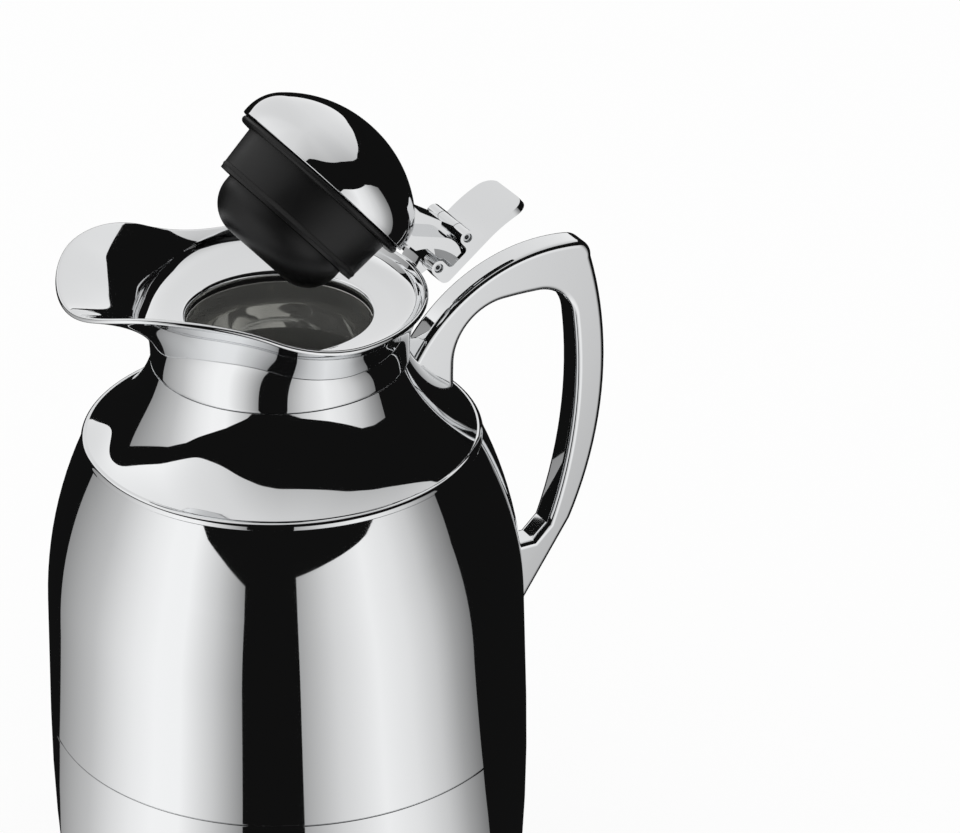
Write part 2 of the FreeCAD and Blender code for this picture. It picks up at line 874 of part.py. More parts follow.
def make_base_ring():
    body = new_body("base_ring")
    inner = base_opening - s.ring_overhang
    low = s.foot_height + s.shell_wall
    spin(body, "ring", *box_outline(inner, low, inner + s.ring_width, low + s.ring_height))
    return body


def make_base_cap():
    body = new_body("base_cap")
    outer = base_opening - s.ring_overhang - s.cap_fit
    rim_top = s.foot_height + s.shell_wall + s.ring_height
    floor = s.cap_lift + s.cap_floor
    segments = [
        line_to(outer, s.cap_lift),
        line_to(outer, rim_top),
        line_to(outer - s.cap_skirt, rim_top),
        line_to(outer - s.cap_skirt, floor),
        line_to(s.pedestal_radius, floor),
        line_to(s.pedestal_radius, pedestal_top),
        line_to(0, pedestal_top),
    ]
    spin(body, "cap", (0, s.cap_lift), segments)
    hollow = box_outline(0, s.cap_lift, s.pedestal_radius - s.pedestal_wall, pedestal_top - s.pedestal_wall)
    spin(body, "cap_recess", *hollow, cut=True)
    half_grip = s.cap_grip / 2
    grip = box_outline(-half_grip, s.cap_lift, half_grip, pedestal_top - s.pedestal_wall)
    across(body, "cap_grip", (s.pedestal_radius - s.pedestal_wall) * 2, *grip)
    return body


def make_flask_cushion():
    body = new_body("flask_cushion")
    seat = s.flask_radius + s.cushion_gap
    outer_top = flask_centre - root(seat * seat - s.cushion_radius * s.cushion_radius)
    inner_top = flask_centre - root(seat * seat - s.cushion_hole * s.cushion_hole)
    segments = [
        line_to(s.cushion_radius, pedestal_top),
        line_to(s.cushion_radius, outer_top),
        axial_to(s.cushion_hole, inner_top),
    ]
    spin(body, "cushion", (s.cushion_hole, pedestal_top), segments)
    return body


# Handle: a bar of one width whose feet follow the shoulder and the jacket
def make_handle_bar():
    body = new_body("handle_bar")
    root_x = neck_radius + s.handle_root_out
    root_z = seam_height - s.handle_root_drop
    crown_z = seam_height + s.handle_crown_rise
    arm_z = seam_height + s.handle_arm_rise
    throat_x = s.crease_radius - s.handle_throat_in
    palm_x = s.crease_radius + s.handle_palm_out
    inner_grip_x = s.crease_radius + s.handle_grip_out - s.handle_grip_depth
    inner_tail_x = s.crease_radius + s.handle_tail_out - s.handle_tail_depth
    hidden_x = ridge_radius / 2
    tail_z = s.crease_height + s.handle_tail_rise
    back_z = seam_height + s.handle_back_rise
    grip_z = tail_z + (back_z - tail_z) * s.handle_grip_share
    toe_z = s.crease_height + s.handle_toe_rise
    sunk_z = toe_z - s.handle_sink * (s.handle_tail_rise - s.handle_toe_rise) / s.handle_tail_out
    heel_z = s.crease_height + s.handle_heel_rise
    segments = [
        line_to(root_x, root_z),
        through_to(s.crease_radius - s.handle_bow_in, seam_height + s.handle_bow_rise,
                   s.crease_radius + s.handle_crown_out, crown_z),
        tangent_to(s.crease_radius + s.handle_corner_out, crown_z - s.handle_corner_drop),
        tangent_to(s.crease_radius + s.handle_back_out, back_z),
        through_to(s.crease_radius + s.handle_grip_out, grip_z,
                   s.crease_radius + s.handle_tail_out, tail_z),
        line_to(s.crease_radius - s.handle_sink, sunk_z),
        line_to(hidden_x, sunk_z),
        line_to(hidden_x, heel_z),
        line_to(s.crease_radius + s.handle_heel_out, heel_z),
        line_to(inner_tail_x, tail_z),
        through_to(inner_grip_x, grip_z,
                   inner_grip_x - s.handle_edge, arm_z - s.handle_palm_drop),
        tangent_to(palm_x, arm_z),
        tangent_to(s.crease_radius, arm_z),
        tangent_to(throat_x, seam_height - s.handle_throat_drop),
        tangent_to(throat_x, ridge_height),
        line_to(hidden_x, ridge_height),
    ]
    across(body, "bar", s.handle_width, (hidden_x, root_z), segments)
    return body


def round_handle_edges(body):
    """Round the long edges of the bar's two flat sides, but not the parts inside the shells."""
    hidden = ridge_radius.value / 2
    for name, side in (("near", -s.handle_width.value / 2), ("far", s.handle_width.value / 2)):
        doc.recompute()
        bar = body.Tip
        chosen = []
        for number, edge in enumerate(bar.Shape.Edges, start=1):
            box = edge.BoundBox
            on_side = abs(box.YMin - side) < 1e-6 and box.YLength < 1e-6
            if on_side and box.XMin > hidden + 1e-6:
                chosen.append(f"Edge{number}")
        fillet = body.newObject("PartDesign::Fillet", f"{name}_handle_edges")
        fillet.Base = (bar, chosen)
        fillet.setExpression("Radius", s.handle_edge.formula)
        body.Tip = fillet


def screw_sites():
    """Where the two handle screws cross the shells: point and angle from +Z towards +X."""
    share = s.lower_screw_rise / s.waist_rise
    lower_x = s.crease_radius - s.waist_inset * share - s.shell_wall
    lower = SimpleNamespace(name="lower", x=lower_x, z=s.crease_height + s.lower_screw_rise,
                            angle=as_length(90.0), along_x=as_length(1.0), along_z=as_length(0.0))
    centre_x, centre_z = shoulder_lining_centre()
    reach = s.shoulder_curve_radius + s.shell_wall
    along_x = cosine(s.upper_screw_angle)
    along_z = sine(s.upper_screw_angle)
    upper = SimpleNamespace(name="upper", x=centre_x - reach * along_x, z=centre_z - reach * along_z,
                            angle=as_length(90.0) - s.upper_screw_angle, along_x=along_x, along_z=along_z)
    return lower, upper


def site_rod(label, site, radius, start, length):
    """A rod along a screw's axis, from a distance past the inside of the shell."""
    start_x = site.x + site.along_x * start
    start_z = site.z + site.along_z * start
    return rod(label, radius, length, start_x, start_z, site.angle)


def make_handle_fixings():
    """Screws, washers and the holes that the screws pass through."""
    screws = []
    washers = []
    holes = []
    for site in screw_sites():
        name = site.name
        washer_face = -s.washer_gap
        head_face = washer_face - s.washer_thickness
        bite = s.shell_wall + s.screw_bite
        hole_radius = s.screw_radius + s.screw_fit
        hole_length = bite + s.washer_thickness + s.washer_gap + s.screw_fit * 2
        hole = site_rod(f"{name}_hole", site, hole_radius, head_face - s.screw_fit, hole_length)
        head_top = head_face - s.screw_head_height
        head = site_rod(f"{name}_head", site, s.screw_head_radius, head_top, s.screw_head_height)
        shank = site_rod(f"{name}_shank", site, s.screw_radius, head_face, bite - head_face)
        screw = doc.addObject("Part::Fuse", f"{name}_screw")
        screw.Base = head
        screw.Tool = shank
        disc = site_rod(f"{name}_disc", site, s.washer_radius, head_face, s.washer_thickness)
        screws.append(screw)
        washers.append(less(f"{name}_washer", disc, hole))
        holes.append(hole)
    return group("handle_screws", screws), group("handle_washers", washers), holes


# Hinge
def make_lug_block():
    """A barrel round the lower pin, on a root that reaches into the collar's wall."""
    body = new_body("lug_block")
    low = pin_height - s.lug_root
    segments = [
        line_to(pin_x, pin_height - eye_radius),
        through_to(pin_x + eye_radius, pin_height, pin_x, pin_height + eye_radius),
        line_to(collar_bore, pin_height - s.pin_rise * 2),
    ]
    across(body, "lug", barrel_width, (collar_bore, low), segments)
    bore_across(body, "lug_bore", barrel_width, pin_x, pin_height, s.pin_radius + s.fixed_fit)
    return body


def make_pin(label, x, z, angle):
    body = new_body(label)
    sketch = upright_sketch(body, f"{label}_outline")
    geometry = sketch.addGeometry(Part.Circle(Vector(0, 0, 0), Vector(0, 0, 1), s.pin_radius.value))
    sketch.addConstraint(Sketcher.Constraint("Coincident", geometry, 3, -1, 1))
    index = sketch.addConstraint(Sketcher.Constraint("Radius", geometry, s.pin_radius.value))
    sketch.setExpression(f"Constraints[{index}]", s.pin_radius.formula)
    extend(body, f"{label}_bar", sketch, s.lever_width, False)
    bind_place(body, x, z, angle)
    return body


def make_thumb_lever():
    """Upright in its own frame: lower pin at the origin, thumb plate above, web towards +X."""
    body = new_body("thumb_lever")
    back = s.web_face + s.web_thickness
    plate_face = back - s.plate_thickness
    upper = s.pin_spacing
    eye = eye_radius
    notch_low = eye + s.notch_round
    notch_high = upper - eye - s.notch_round
    sweep_back = back + s.plate_sweep
    segments = [
        tangent_to(back, as_length(0)),
        line_to(back, s.plate_start),
        tangent_to(sweep_back, s.plate_length),
        line_to(sweep_back - s.plate_thickness, s.plate_length),
        through_to(plate_face + s.plate_sweep / 4, (s.plate_start + s.plate_length) / 2,
                   plate_face, s.plate_start),
        line_to(plate_face, upper + eye),
        line_to(0, upper + eye),
        through_to(-eye, upper, 0, upper - eye),
        line_to(s.web_face - s.notch_round, upper - eye),
        tangent_to(s.web_face, notch_high),
        line_to(s.web_face, notch_low),
        tangent_to(s.web_face - s.notch_round, eye),
        line_to(0, eye),
        through_to(-eye, 0, 0, -eye),
    ]
    across(body, "cheeks", s.lever_width, (back - eye - s.running_fit, -eye), segments)
    slot_width = s.lever_width - s.cheek_width * 2
    past = back + s.plate_sweep
    slot = [
        line_to(past, -past),
        line_to(past, s.web_start),
        line_to(s.web_face, s.web_start),
        line_to(s.web_face, upper + eye + s.hinge_gap),
        line_to(-past, upper + eye + s.hinge_gap),
    ]
    across(body, "slot", slot_width, (-past, -past), slot, cut=True)
    bore_across(body, "lower_eyes", s.lever_width, 0, 0, s.pin_radius + s.running_fit)
    bore_across(body, "upper_eyes", s.lever_width, 0, upper, s.pin_radius + s.fixed_fit)
    bind_place(body, pin_x, pin_height, lever_turn)
    return body


def round_thumb_corners(body):
    """Round the thumb plate's two outer corners."""
    doc.recompute()
    plate = body.Tip
    half = s.lever_width.value / 2
    back = s.web_face.value + s.web_thickness.value + s.plate_sweep.value
    chosen = []
    for number, edge in enumerate(plate.Shape.Edges, start=1):
        box = edge.BoundBox
        on_side = abs(abs(box.YMin) - half) < 1e-6 and box.YLength < 1e-6
        at_tip = abs(box.ZMin - s.plate_length.value) < 1e-6 and box.XMax < back + 1e-6
        if on_side and at_tip and box.ZLength < 1e-6:
            chosen.append(f"Edge{number}")
    fillet = body.newObject("PartDesign::Fillet", "thumb_corners")
    fillet.Base = (plate, chosen)
    fillet.setExpression("Radius", s.plate_corner.formula)
    body.Tip = fillet


# Lid
dome_radius = flange_radius + s.dome_step
dome_bore = dome_radius - s.dome_wall
band_top = half_flange + s.dome_band
dome_top = band_top + s.crown_rise


def dome_outline():
    segments = [
        line_to(dome_radius, half_flange),
        line_to(dome_radius, band_top),
        axial_to(0, dome_top),
    ]
    return (0, half_flange), segments


def make_dome_shell():
    body = new_body("dome_shell")
    spin(body, "dome_outside", *dome_outline())
    segments = [
        line_to(dome_bore, half_flange),
        line_to(dome_bore, band_top),
        axial_to(0, dome_top - s.dome_wall),
    ]
    spin(body, "dome_inside", (0, half_flange), segments, cut=True)
    return body


def beside_open_lever(out, up):
    """A point of the lever's own frame, seen in the lid's frame while the lid is open."""
    lean = lever_turn - s.open_angle
    rise = up - s.pin_spacing
    x = barrel_x + out * cosine(lean) + rise * sine(lean)
    z = barrel_z + rise * cosine(lean) - out * sine(lean)
    return x, z


def make_lid_arm_bar():
    """A broad arm from the dome to a nose in the lever's notch, with a rib up to the upper pin's barrel."""
    body = new_body("lid_arm_bar")
    nose_top = beside_open_lever(s.web_face - s.tail_gap, s.tail_rise)
    nose_low = beside_open_lever(s.web_face - s.tail_gap, s.tail_rise - s.tail_thickness)
    hidden_x = dome_radius / 2
    root_x = dome_radius + s.arm_depth
    root_z = half_flange + s.arm_root_rise
    knee_x = dome_radius + s.arm_knee_out
    knee_z = half_flange + s.arm_knee_rise
    crest_x = barrel_x - s.arm_crest_in
    crest_z = barrel_z - s.arm_crest_drop
    saddle_z = barrel_z - eye_radius - s.arm_clearance
    segments = [
        line_to(root_x, root_z + s.arm_root_rise),
        through_to(knee_x, knee_z, *nose_low),
        line_to(*nose_top),
        through_to(barrel_x, saddle_z, crest_x, crest_z),
        line_to(dome_radius, root_z + s.arm_depth),
        line_to(hidden_x, root_z + s.arm_depth),
    ]
    across(body, "arm", s.arm_width, (hidden_x, root_z), segments)
    rib_top = half_flange + s.rib_rise
    rib = [
        line_to(root_x, root_z + s.arm_root_rise * 2),
        line_to(knee_x, knee_z + s.arm_root_rise),
        line_to(barrel_x + eye_radius, saddle_z - s.arm_clearance),
        line_to(barrel_x + eye_radius, barrel_z),
        through_to(barrel_x, barrel_z + eye_radius, barrel_x - eye_radius, barrel_z),
        line_to(dome_radius, rib_top),
        line_to(hidden_x, rib_top),
    ]
    across(body, "rib", barrel_width, (hidden_x, root_z + s.arm_root_rise), rib)
    bore_across(body, "arm_bore", barrel_width, barrel_x, barrel_z, s.pin_radius + s.running_fit)
    return body


def make_dome_form():
    body = new_body("dome_form")
    spin(body, "dome_filled", *dome_outline())
    return body


def make_arm_fixings():
    """Two small screws from inside the dome's band into the arm, and their holes."""
    screws = []
    holes = []
    height = half_flange + s.spigot_height + s.seat_gap + s.arm_screw_head
    head_x = dome_bore - s.arm_screw_seat - s.arm_screw_cap
    for name, side in (("near", -1), ("far", 1)):
        y = s.arm_screw_spread / 2 * side
        turn = as_length(90.0)
        head = rod(f"{name}_arm_head", s.arm_screw_head, s.arm_screw_cap, head_x, height, turn, y)
        length = s.arm_screw_seat + s.dome_wall + s.arm_screw_bite
        shank_x = head_x + s.arm_screw_cap
        shank = rod(f"{name}_arm_shank", s.arm_screw_radius, length, shank_x, height, turn, y)
        screw = doc.addObject("Part::Fuse", f"{name}_arm_screw")
        screw.Base = head
        screw.Tool = shank
        screws.append(screw)
        hole_radius = s.arm_screw_radius + s.screw_fit
        holes.append(rod(f"{name}_arm_hole", hole_radius, length + s.screw_fit, shank_x, height, turn, y))
    return group("arm_screws", screws), holes


def make_lid_core():
    """Insert in the dome: a plate on the stopper and a boss for its screw."""
    body = new_body("lid_core")
    plate_top = half_flange + s.core_plate
    dome_curve = (dome_bore * dome_bore + s.crown_rise * s.crown_rise) / (s.crown_rise * 2)
    boss_top = dome_top - s.dome_wall - s.boss_gap - s.boss_radius * s.boss_radius / (dome_curve * 2)
    segments = [
        line_to(s.core_radius, half_flange),
        line_to(s.core_radius, plate_top),
        line_to(s.boss_radius, plate_top),
        line_to(s.boss_radius, boss_top),
        line_to(0, boss_top),
    ]
    spin(body, "core", (0, half_flange), segments)
    hole_top = half_flange + s.stopper_screw_bite + s.screw_fit
    spin(body, "core_hole", *box_outline(0, half_flange, s.screw_radius + s.screw_fit, hole_top), cut=True)
    return body


plug_bottom = -half_flange - s.plug_length
plug_radius = s.mouth_radius - s.plug_gap
plug_foot = plug_radius - s.plug_taper
plug_cavity = plug_foot - s.plug_wall
plug_roof = -half_flange - s.plug_roof
seal_low = plug_bottom + s.seal_rise
seal_high = seal_low + s.seal_height


def plug_side(z):
    """Radius of the tapered plug at a height."""
    return plug_foot + s.plug_taper * ((z - plug_bottom) / s.plug_length)


def make_stopper_body():
    """Flange, tapered plug with a groove for the seal, and a spigot that the dome fits over."""
    body = new_body("stopper_body")
    spigot = dome_bore - s.spigot_fit
    spigot_top = half_flange + s.spigot_height
    groove = plug_foot - s.seal_depth
    segments = [
        line_to(plug_foot, plug_bottom),
        line_to(plug_side(seal_low), seal_low),
        line_to(groove, seal_low),
        line_to(groove, seal_high),
        line_to(plug_side(seal_high), seal_high),
        line_to(plug_radius, -half_flange),
        line_to(flange_radius, -half_flange),
        line_to(flange_radius, half_flange),
        line_to(spigot, half_flange),
        line_to(spigot, spigot_top),
        line_to(spigot - s.spigot_wall, spigot_top),
        line_to(spigot - s.spigot_wall, half_flange),
        line_to(0, half_flange),
    ]
    spin(body, "stopper", (0, plug_bottom), segments)
    spin(body, "plug_space", *box_outline(0, plug_bottom, plug_cavity, plug_roof), cut=True)
    hole = box_outline(0, plug_roof, s.screw_radius + s.screw_fit, half_flange)
    spin(body, "stopper_hole", *hole, cut=True)
    return body


def make_stopper_seal():
    """A ring in the plug's groove with a lip that stands proud."""
    body = new_body("stopper_seal")
    groove = plug_foot - s.seal_depth + s.fixed_fit
    lip = plug_side(seal_low) + s.seal_lip
    seal_middle = (seal_low + seal_high) / 2
    segments = [
        line_to(plug_side(seal_low), seal_low),
        line_to(lip, seal_middle),
        line_to(plug_side(seal_low), seal_high),
        line_to(groove, seal_high),
    ]
    spin(body, "seal", (groove, seal_low), segments)
    return body


def make_stopper_cup():
    """A hollow rounded cup under the plug, held by a spigot in the plug's space."""
    body = new_body("stopper_cup")
    bottom = plug_bottom - s.cup_length
    spigot = plug_cavity - s.cup_fit
    spigot_top = plug_bottom + s.cup_spigot
    inner = spigot - s.cup_wall
    segments = [
        line_to(s.cup_radius - s.cup_round, bottom),
        tangent_to(s.cup_radius, bottom + s.cup_round),
        line_to(s.cup_radius, plug_bottom),
        line_to(spigot, plug_bottom),
        line_to(spigot, spigot_top),
        line_to(0, spigot_top),
    ]
    spin(body, "cup", (0, bottom), segments)
    inside = [
        line_to(inner - s.cup_round, bottom + s.cup_wall),
        tangent_to(inner, bottom + s.cup_wall + s.cup_round),
        line_to(inner, spigot_top),
        line_to(0, spigot_top),
    ]
    spin(body, "cup_space", (0, bottom + s.cup_wall), inside, cut=True)
    return body


def make_stopper_foam():
    """A foam ring round the screw head, in the plug's space above the cup's spigot."""
    body = new_body("stopper_foam")
    low = plug_bottom + s.cup_spigot
    inner = s.screw_head_radius + s.cup_fit
    spin(body, "foam", *box_outline(inner, low, plug_cavity - s.cup_fit, plug_roof))
    return body


def make_stopper_screw():
    body = new_body("stopper_screw")
    tip = half_flange + s.stopper_screw_bite
    segments = [
        line_to(s.screw_head_radius, plug_roof - s.screw_head_height),
        line_to(s.screw_head_radius, plug_roof),
        line_to(s.screw_radius, plug_roof),
        line_to(s.screw_radius, tip),
        line_to(0, tip),
    ]
    spin(body, "screw", (0, plug_roof - s.screw_head_height), segments)
    return body


def make_body_pieces():
    """All that stands still: shells, flask, bottom, handle and the hinge's fixed half."""
    collar, collar_form = make_collar()
    jacket_form = new_body("jacket_form")
    spin(jacket_form, "jacket_filled", *jacket_outline())
    shoulder_form = new_body("shoulder_form")
    spin(shoulder_form, "shoulder_filled", *shoulder_outline())
    lower_form = new_body("lower_form")
    spin(lower_form, "lower_filled", *lower_outline())
    screws, washers, (lower_hole, upper_hole) = make_handle_fixings()
    bar = make_handle_bar()
    round_handle_edges(bar)
    handle = less("handle", bar, jacket_form, shoulder_form, lower_form, lower_hole, upper_hole)
    return [
        make_foot_ring(),
        make_lower_shell(),
        less("outer_jacket", make_jacket_shell(), lower_hole),
        make_joint_band(),
        less("shoulder", make_shoulder_shell(), upper_hole),
        collar,
        make_neck_sleeve(),
        make_neck_gasket(),
        make_inner_flask(),
        make_outer_flask(),
        make_flask_spacers(),
        make_flask_cushion(),
        make_base_ring(),
        make_base_cap(),
        handle,
        screws,
        washers,
        less("hinge_lug", make_lug_block(), collar_form),
        make_pin("lever_pin", pin_x, pin_height, lever_turn),
    ]


def make_lever_pieces():
    lever = make_thumb_lever()
    round_thumb_corners(lever)
    x, z = lever_turned(as_length(0), s.pin_spacing)
    return [lever, make_pin("lid_pin", x, z, lever_turn)]


def make_lid_pieces():
    arm_screws, arm_holes = make_arm_fixings()
    pieces = [
        less("lid_dome", make_dome_shell(), *arm_holes),
        less("lid_arm", make_lid_arm_bar(), make_dome_form(), *arm_holes),
        arm_screws,
        make_lid_core(),
        make_stopper_body(),
        make_stopper_seal(),
        make_stopper_cup(),
        make_stopper_foam(),
        make_stopper_screw(),
    ]
    for piece in pieces:
        place_on_lid(piece)
    return pieces


pieces = make_body_pieces() + make_lever_pieces() + make_lid_pieces()
doc.recompute()

for item in doc.Objects:
    if "Invalid" in item.State or "Error" in item.State:
        raise RuntimeError(f"{item.Label} failed: {item.State}")
for piece in pieces:
    if piece.Shape.isNull() or not piece.Shape.isValid():
        raise RuntimeError(f"{piece.Label} has no valid shape")

os.makedirs("parts", exist_ok=True)
for piece in pieces:
    piece.Shape.exportStep(f"parts/{piece.Label}.step")
    print(f"{piece.Label}: {len(piece.Shape.Solids)} solids, {piece.Shape.Volume / 1000:.2f} cm3")
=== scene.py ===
# %% [markdown]
# # A chromed thermal carafe
# The carafe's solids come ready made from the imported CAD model. Blender adds what a mirror needs:
# surfaces that bend without facets, rolled edges, honest materials and a studio to reflect.
# Sizes of the carafe are in millimetres, as on a drawing, and become metres when a mesh is made. The
# studio round it is set out in metres.

# %% Load the frame
import json
import math

import bpy
import numpy as np
from mathutils import Matrix, Vector


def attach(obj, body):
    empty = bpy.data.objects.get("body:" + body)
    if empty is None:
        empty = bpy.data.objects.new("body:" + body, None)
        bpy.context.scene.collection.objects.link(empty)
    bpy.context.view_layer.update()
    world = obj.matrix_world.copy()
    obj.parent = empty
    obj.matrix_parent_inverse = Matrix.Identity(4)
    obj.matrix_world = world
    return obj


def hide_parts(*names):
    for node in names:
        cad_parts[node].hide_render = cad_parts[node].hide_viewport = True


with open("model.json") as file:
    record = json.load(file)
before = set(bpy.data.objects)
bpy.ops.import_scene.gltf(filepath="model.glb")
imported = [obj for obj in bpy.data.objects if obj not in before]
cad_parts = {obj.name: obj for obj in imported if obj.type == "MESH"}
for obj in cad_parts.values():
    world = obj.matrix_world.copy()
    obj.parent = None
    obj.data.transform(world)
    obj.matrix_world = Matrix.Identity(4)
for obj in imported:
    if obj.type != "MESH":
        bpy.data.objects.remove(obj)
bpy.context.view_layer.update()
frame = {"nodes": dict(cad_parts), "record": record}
nodes = frame["nodes"]
scene = bpy.context.scene
scene.view_settings.view_transform = "Standard"

# %% [markdown]
# ## The camera
# The photograph was taken with a long lens from a little above the carafe, on the spout's side.
# A long lens flattens the picture, so the rims look like plain ellipses. The place and the tilt
# were worked out from those ellipses, and the picture is 960 pixels wide.

# %% Camera
camera = bpy.data.objects.new("camera", bpy.data.cameras.new("camera"))
camera.data.sensor_width = 36
camera.data.lens = 150
camera.location = (-0.4619, -0.9772, 0.7621)
camera.rotation_euler = (math.radians(62.3), 0, math.radians(-28.5))
scene.collection.objects.link(camera)
scene.camera = camera
print("camera distance from the axis: %.3f m" % math.hypot(camera.location.x, camera.location.y))

# %% [markdown]
# ## Colours and nodes
# Colours are written as sRGB hex values, the way a paint card gives them, and shaders want linear
# numbers. One function does that change. The others add a node with its links, start a material, give
# the scale of a texture and bump a surface. A wave texture turns 20 radians per unit of its scale.

# %% Helpers for materials
WAVE_TURN = 20


def linear(hex_colour):
    """An sRGB hex colour as linear red, green, blue and alpha."""
    channels = [int(hex_colour[i:i + 2], 16) / 255 for i in (1, 3, 5)]
    return [c / 12.92 if c <= 0.04045 else ((c + 0.055) / 1.055) ** 2.4 for c in channels] + [1.0]


def add_node(tree, kind, settings=None, sockets=None):
    """A node with its settings; a socket takes a value or a link from another node's output."""
    node = tree.nodes.new(kind)
    for name, value in (settings or {}).items():
        setattr(node, name, value)
    for name, value in (sockets or {}).items():
        if isinstance(value, bpy.types.NodeSocket):
            tree.links.new(value, node.inputs[name])
        else:
            node.inputs[name].default_value = value
    return node


def new_material(name, **sockets):
    """A material with one Principled shader; returns it with its tree, shader and object coordinates."""
    material = bpy.data.materials.new(name)
    material.use_nodes = True
    tree = material.node_tree
    shader = tree.nodes["Principled BSDF"]
    for socket, value in sockets.items():
        shader.inputs[socket.replace("_", " ")].default_value = value
    place = tree.nodes.new("ShaderNodeTexCoord").outputs["Object"]
    return material, tree, shader, place


def per_mm(millimetres):
    """Texture scale whose cells measure that many millimetres, as coordinates are in metres."""
    return 1000 / millimetres


def add_bump(tree, shader, height, strength, distance):
    """Bump the shader's surface by a height, over a distance in metres."""
    bump = add_node(tree, "ShaderNodeBump", sockets={
        "Height": height, "Strength": strength, "Distance": distance})
    tree.links.new(bump.outputs["Normal"], shader.inputs["Normal"])


# %% [markdown]
# ## Polished chrome
# The shells, handle and lid are drawn or cast metal, buffed and chrome plated. To the eye that is a
# neutral mirror. Only handling shows on it: a very faint haze in soft patches about 25 mm wide, held in
# the roughness so that reflections stay sharp.

# %% Polished chrome
chrome, tree, shader, place = new_material(
    "polished_chrome_plate", Base_Color=linear("#EDEEEF"), Metallic=1.0)
haze = add_node(tree, "ShaderNodeTexNoise", sockets={
    "Vector": place, "Scale": per_mm(25), "Detail": 3.0, "Roughness": 0.55})
gloss = add_node(tree, "ShaderNodeMapRange", sockets={
    "Value": haze.outputs["Fac"], "From Min": 0.35, "From Max": 0.75, "To Min": 0.018, "To Max": 0.05})
tree.links.new(gloss.outputs["Result"], shader.inputs["Roughness"])
print("material:", chrome.name)

# %% [markdown]
# ## Turned steel
# Pins and screws are bright steel bar, cut on a lathe. The tool leaves fine rings about 0.2 mm apart.
# They are too fine to show here, so they are drawn 3 mm apart, which is 0.5 mm to a radian, and very
# shallow.

# %% Turned steel
steel, tree, shader, place = new_material(
    "turned_steel", Base_Color=linear("#C9CBCD"), Metallic=1.0, Roughness=0.16)
rings = add_node(tree, "ShaderNodeTexWave", {"bands_direction": "Y"}, {
    "Vector": place, "Scale": per_mm(0.5) / WAVE_TURN, "Distortion": 0.4, "Detail": 1.0})
add_bump(tree, shader, rings.outputs["Fac"], strength=0.08, distance=0.0001)
print("material:", steel.name)

# %% [markdown]
# ## Silvered glass
# The flask is blown borosilicate glass with silver on its hidden side: a greyish, slightly milky mirror
# under a clear glossy skin. Blowing leaves the wall wavy, so reflections stretch into uneven rings. The
# waves run round the flask, 9 mm to a radian or about 57 mm apart, and wander by up to half of that.
# The ground lip above 222 mm is plain.

# %% Silvered glass
LIP_FOOT, RIPPLE_TOP = 0.222, 0.212
glass, tree, shader, place = new_material(
    "silvered_flask_glass", Base_Color=linear("#C9C9C5"), Metallic=0.75, Roughness=0.05,
    Coat_Weight=1.0, Coat_Roughness=0.02, Coat_IOR=1.47)
waves = add_node(tree, "ShaderNodeTexWave", {"bands_direction": "Z"}, {
    "Vector": place, "Scale": per_mm(9) / WAVE_TURN, "Distortion": 3.0, "Detail": 2.0, "Detail Scale": 1.2})
height = add_node(tree, "ShaderNodeSeparateXYZ", sockets={"Vector": place})
below_lip = add_node(tree, "ShaderNodeMapRange", sockets={
    "Value": height.outputs["Z"], "From Min": LIP_FOOT, "From Max": RIPPLE_TOP, "To Min": 0.0, "To Max": 1.0})
ripple = add_node(tree, "ShaderNodeMath", {"operation": "MULTIPLY"}, {
    0: waves.outputs["Fac"], 1: below_lip.outputs["Result"]})
add_bump(tree, shader, ripple.outputs[0], strength=1.0, distance=0.003)
print("material:", glass.name)

# %% [markdown]
# ## Black polypropylene
# Stopper and insert are moulded polypropylene with a satin mould finish: black, with broad soft
# highlights. The spark-eroded grain of the mould is near 0.1 mm; it is drawn at 0.6 mm to show at all.

# %% Black polypropylene
black_plastic, tree, shader, place = new_material(
    "satin_black_polypropylene", Base_Color=linear("#0A0A0B"), IOR=1.42)
grain = add_node(tree, "ShaderNodeTexNoise", sockets={
    "Vector": place, "Scale": per_mm(0.6), "Detail": 4.0, "Roughness": 0.6})
cloud = add_node(tree, "ShaderNodeTexNoise", sockets={
    "Vector": place, "Scale": per_mm(14), "Detail": 2.0})
satin = add_node(tree, "ShaderNodeMapRange", sockets={
    "Value": cloud.outputs["Fac"], "From Min": 0.3, "From Max": 0.7, "To Min": 0.36, "To Max": 0.46})
tree.links.new(satin.outputs["Result"], shader.inputs["Roughness"])
add_bump(tree, shader, grain.outputs["Fac"], strength=0.12, distance=0.0001)
print("material:", black_plastic.name)

# %% [markdown]
# ## Dark ABS, rubber and foam
# Base cap, ring and sleeve are dark moulded ABS, the foot and the gaskets are silicone rubber, and the
# filling is pale foam. They are mostly hidden, but the underside shows when the carafe is tipped.

# %% Dark ABS, rubber and foam
hidden_finishes = {}
for name, colour, roughness, cell, depth in (
        ("dark_moulded_abs", "#26272A", 0.48, 0.8, 0.12),
        ("black_silicone_rubber", "#161616", 0.72, 1.4, 0.25),
        ("pale_foam", "#D9D4C6", 0.92, 1.2, 0.6)):
    material, tree, shader, place = new_material(name, Base_Color=linear(colour), Roughness=roughness)
    cells = add_node(tree, "ShaderNodeTexNoise", sockets={
        "Vector": place, "Scale": per_mm(cell), "Detail": 3.0})
    add_bump(tree, shader, cells.outputs["Fac"], strength=depth, distance=0.0002)
    hidden_finishes[name] = material
dark_abs, rubber, foam = hidden_finishes.values()
finishes = {
    "polished_chrome": chrome, "steel": steel, "silvered_glass": glass, "black_plastic": black_plastic,
    "dark_plastic": dark_abs, "rubber": rubber, "insulation": foam,
}
node_slots = {part["node"]: part["material_slot"] for part in frame["record"]["subparts"]}
for name, node in nodes.items():
    node.data.materials.clear()
    node.data.materials.append(finishes[node_slots[name]])
    for polygon in node.data.polygons:
        polygon.material_index = 0
print("CAD nodes with a finish:", len(node_slots))

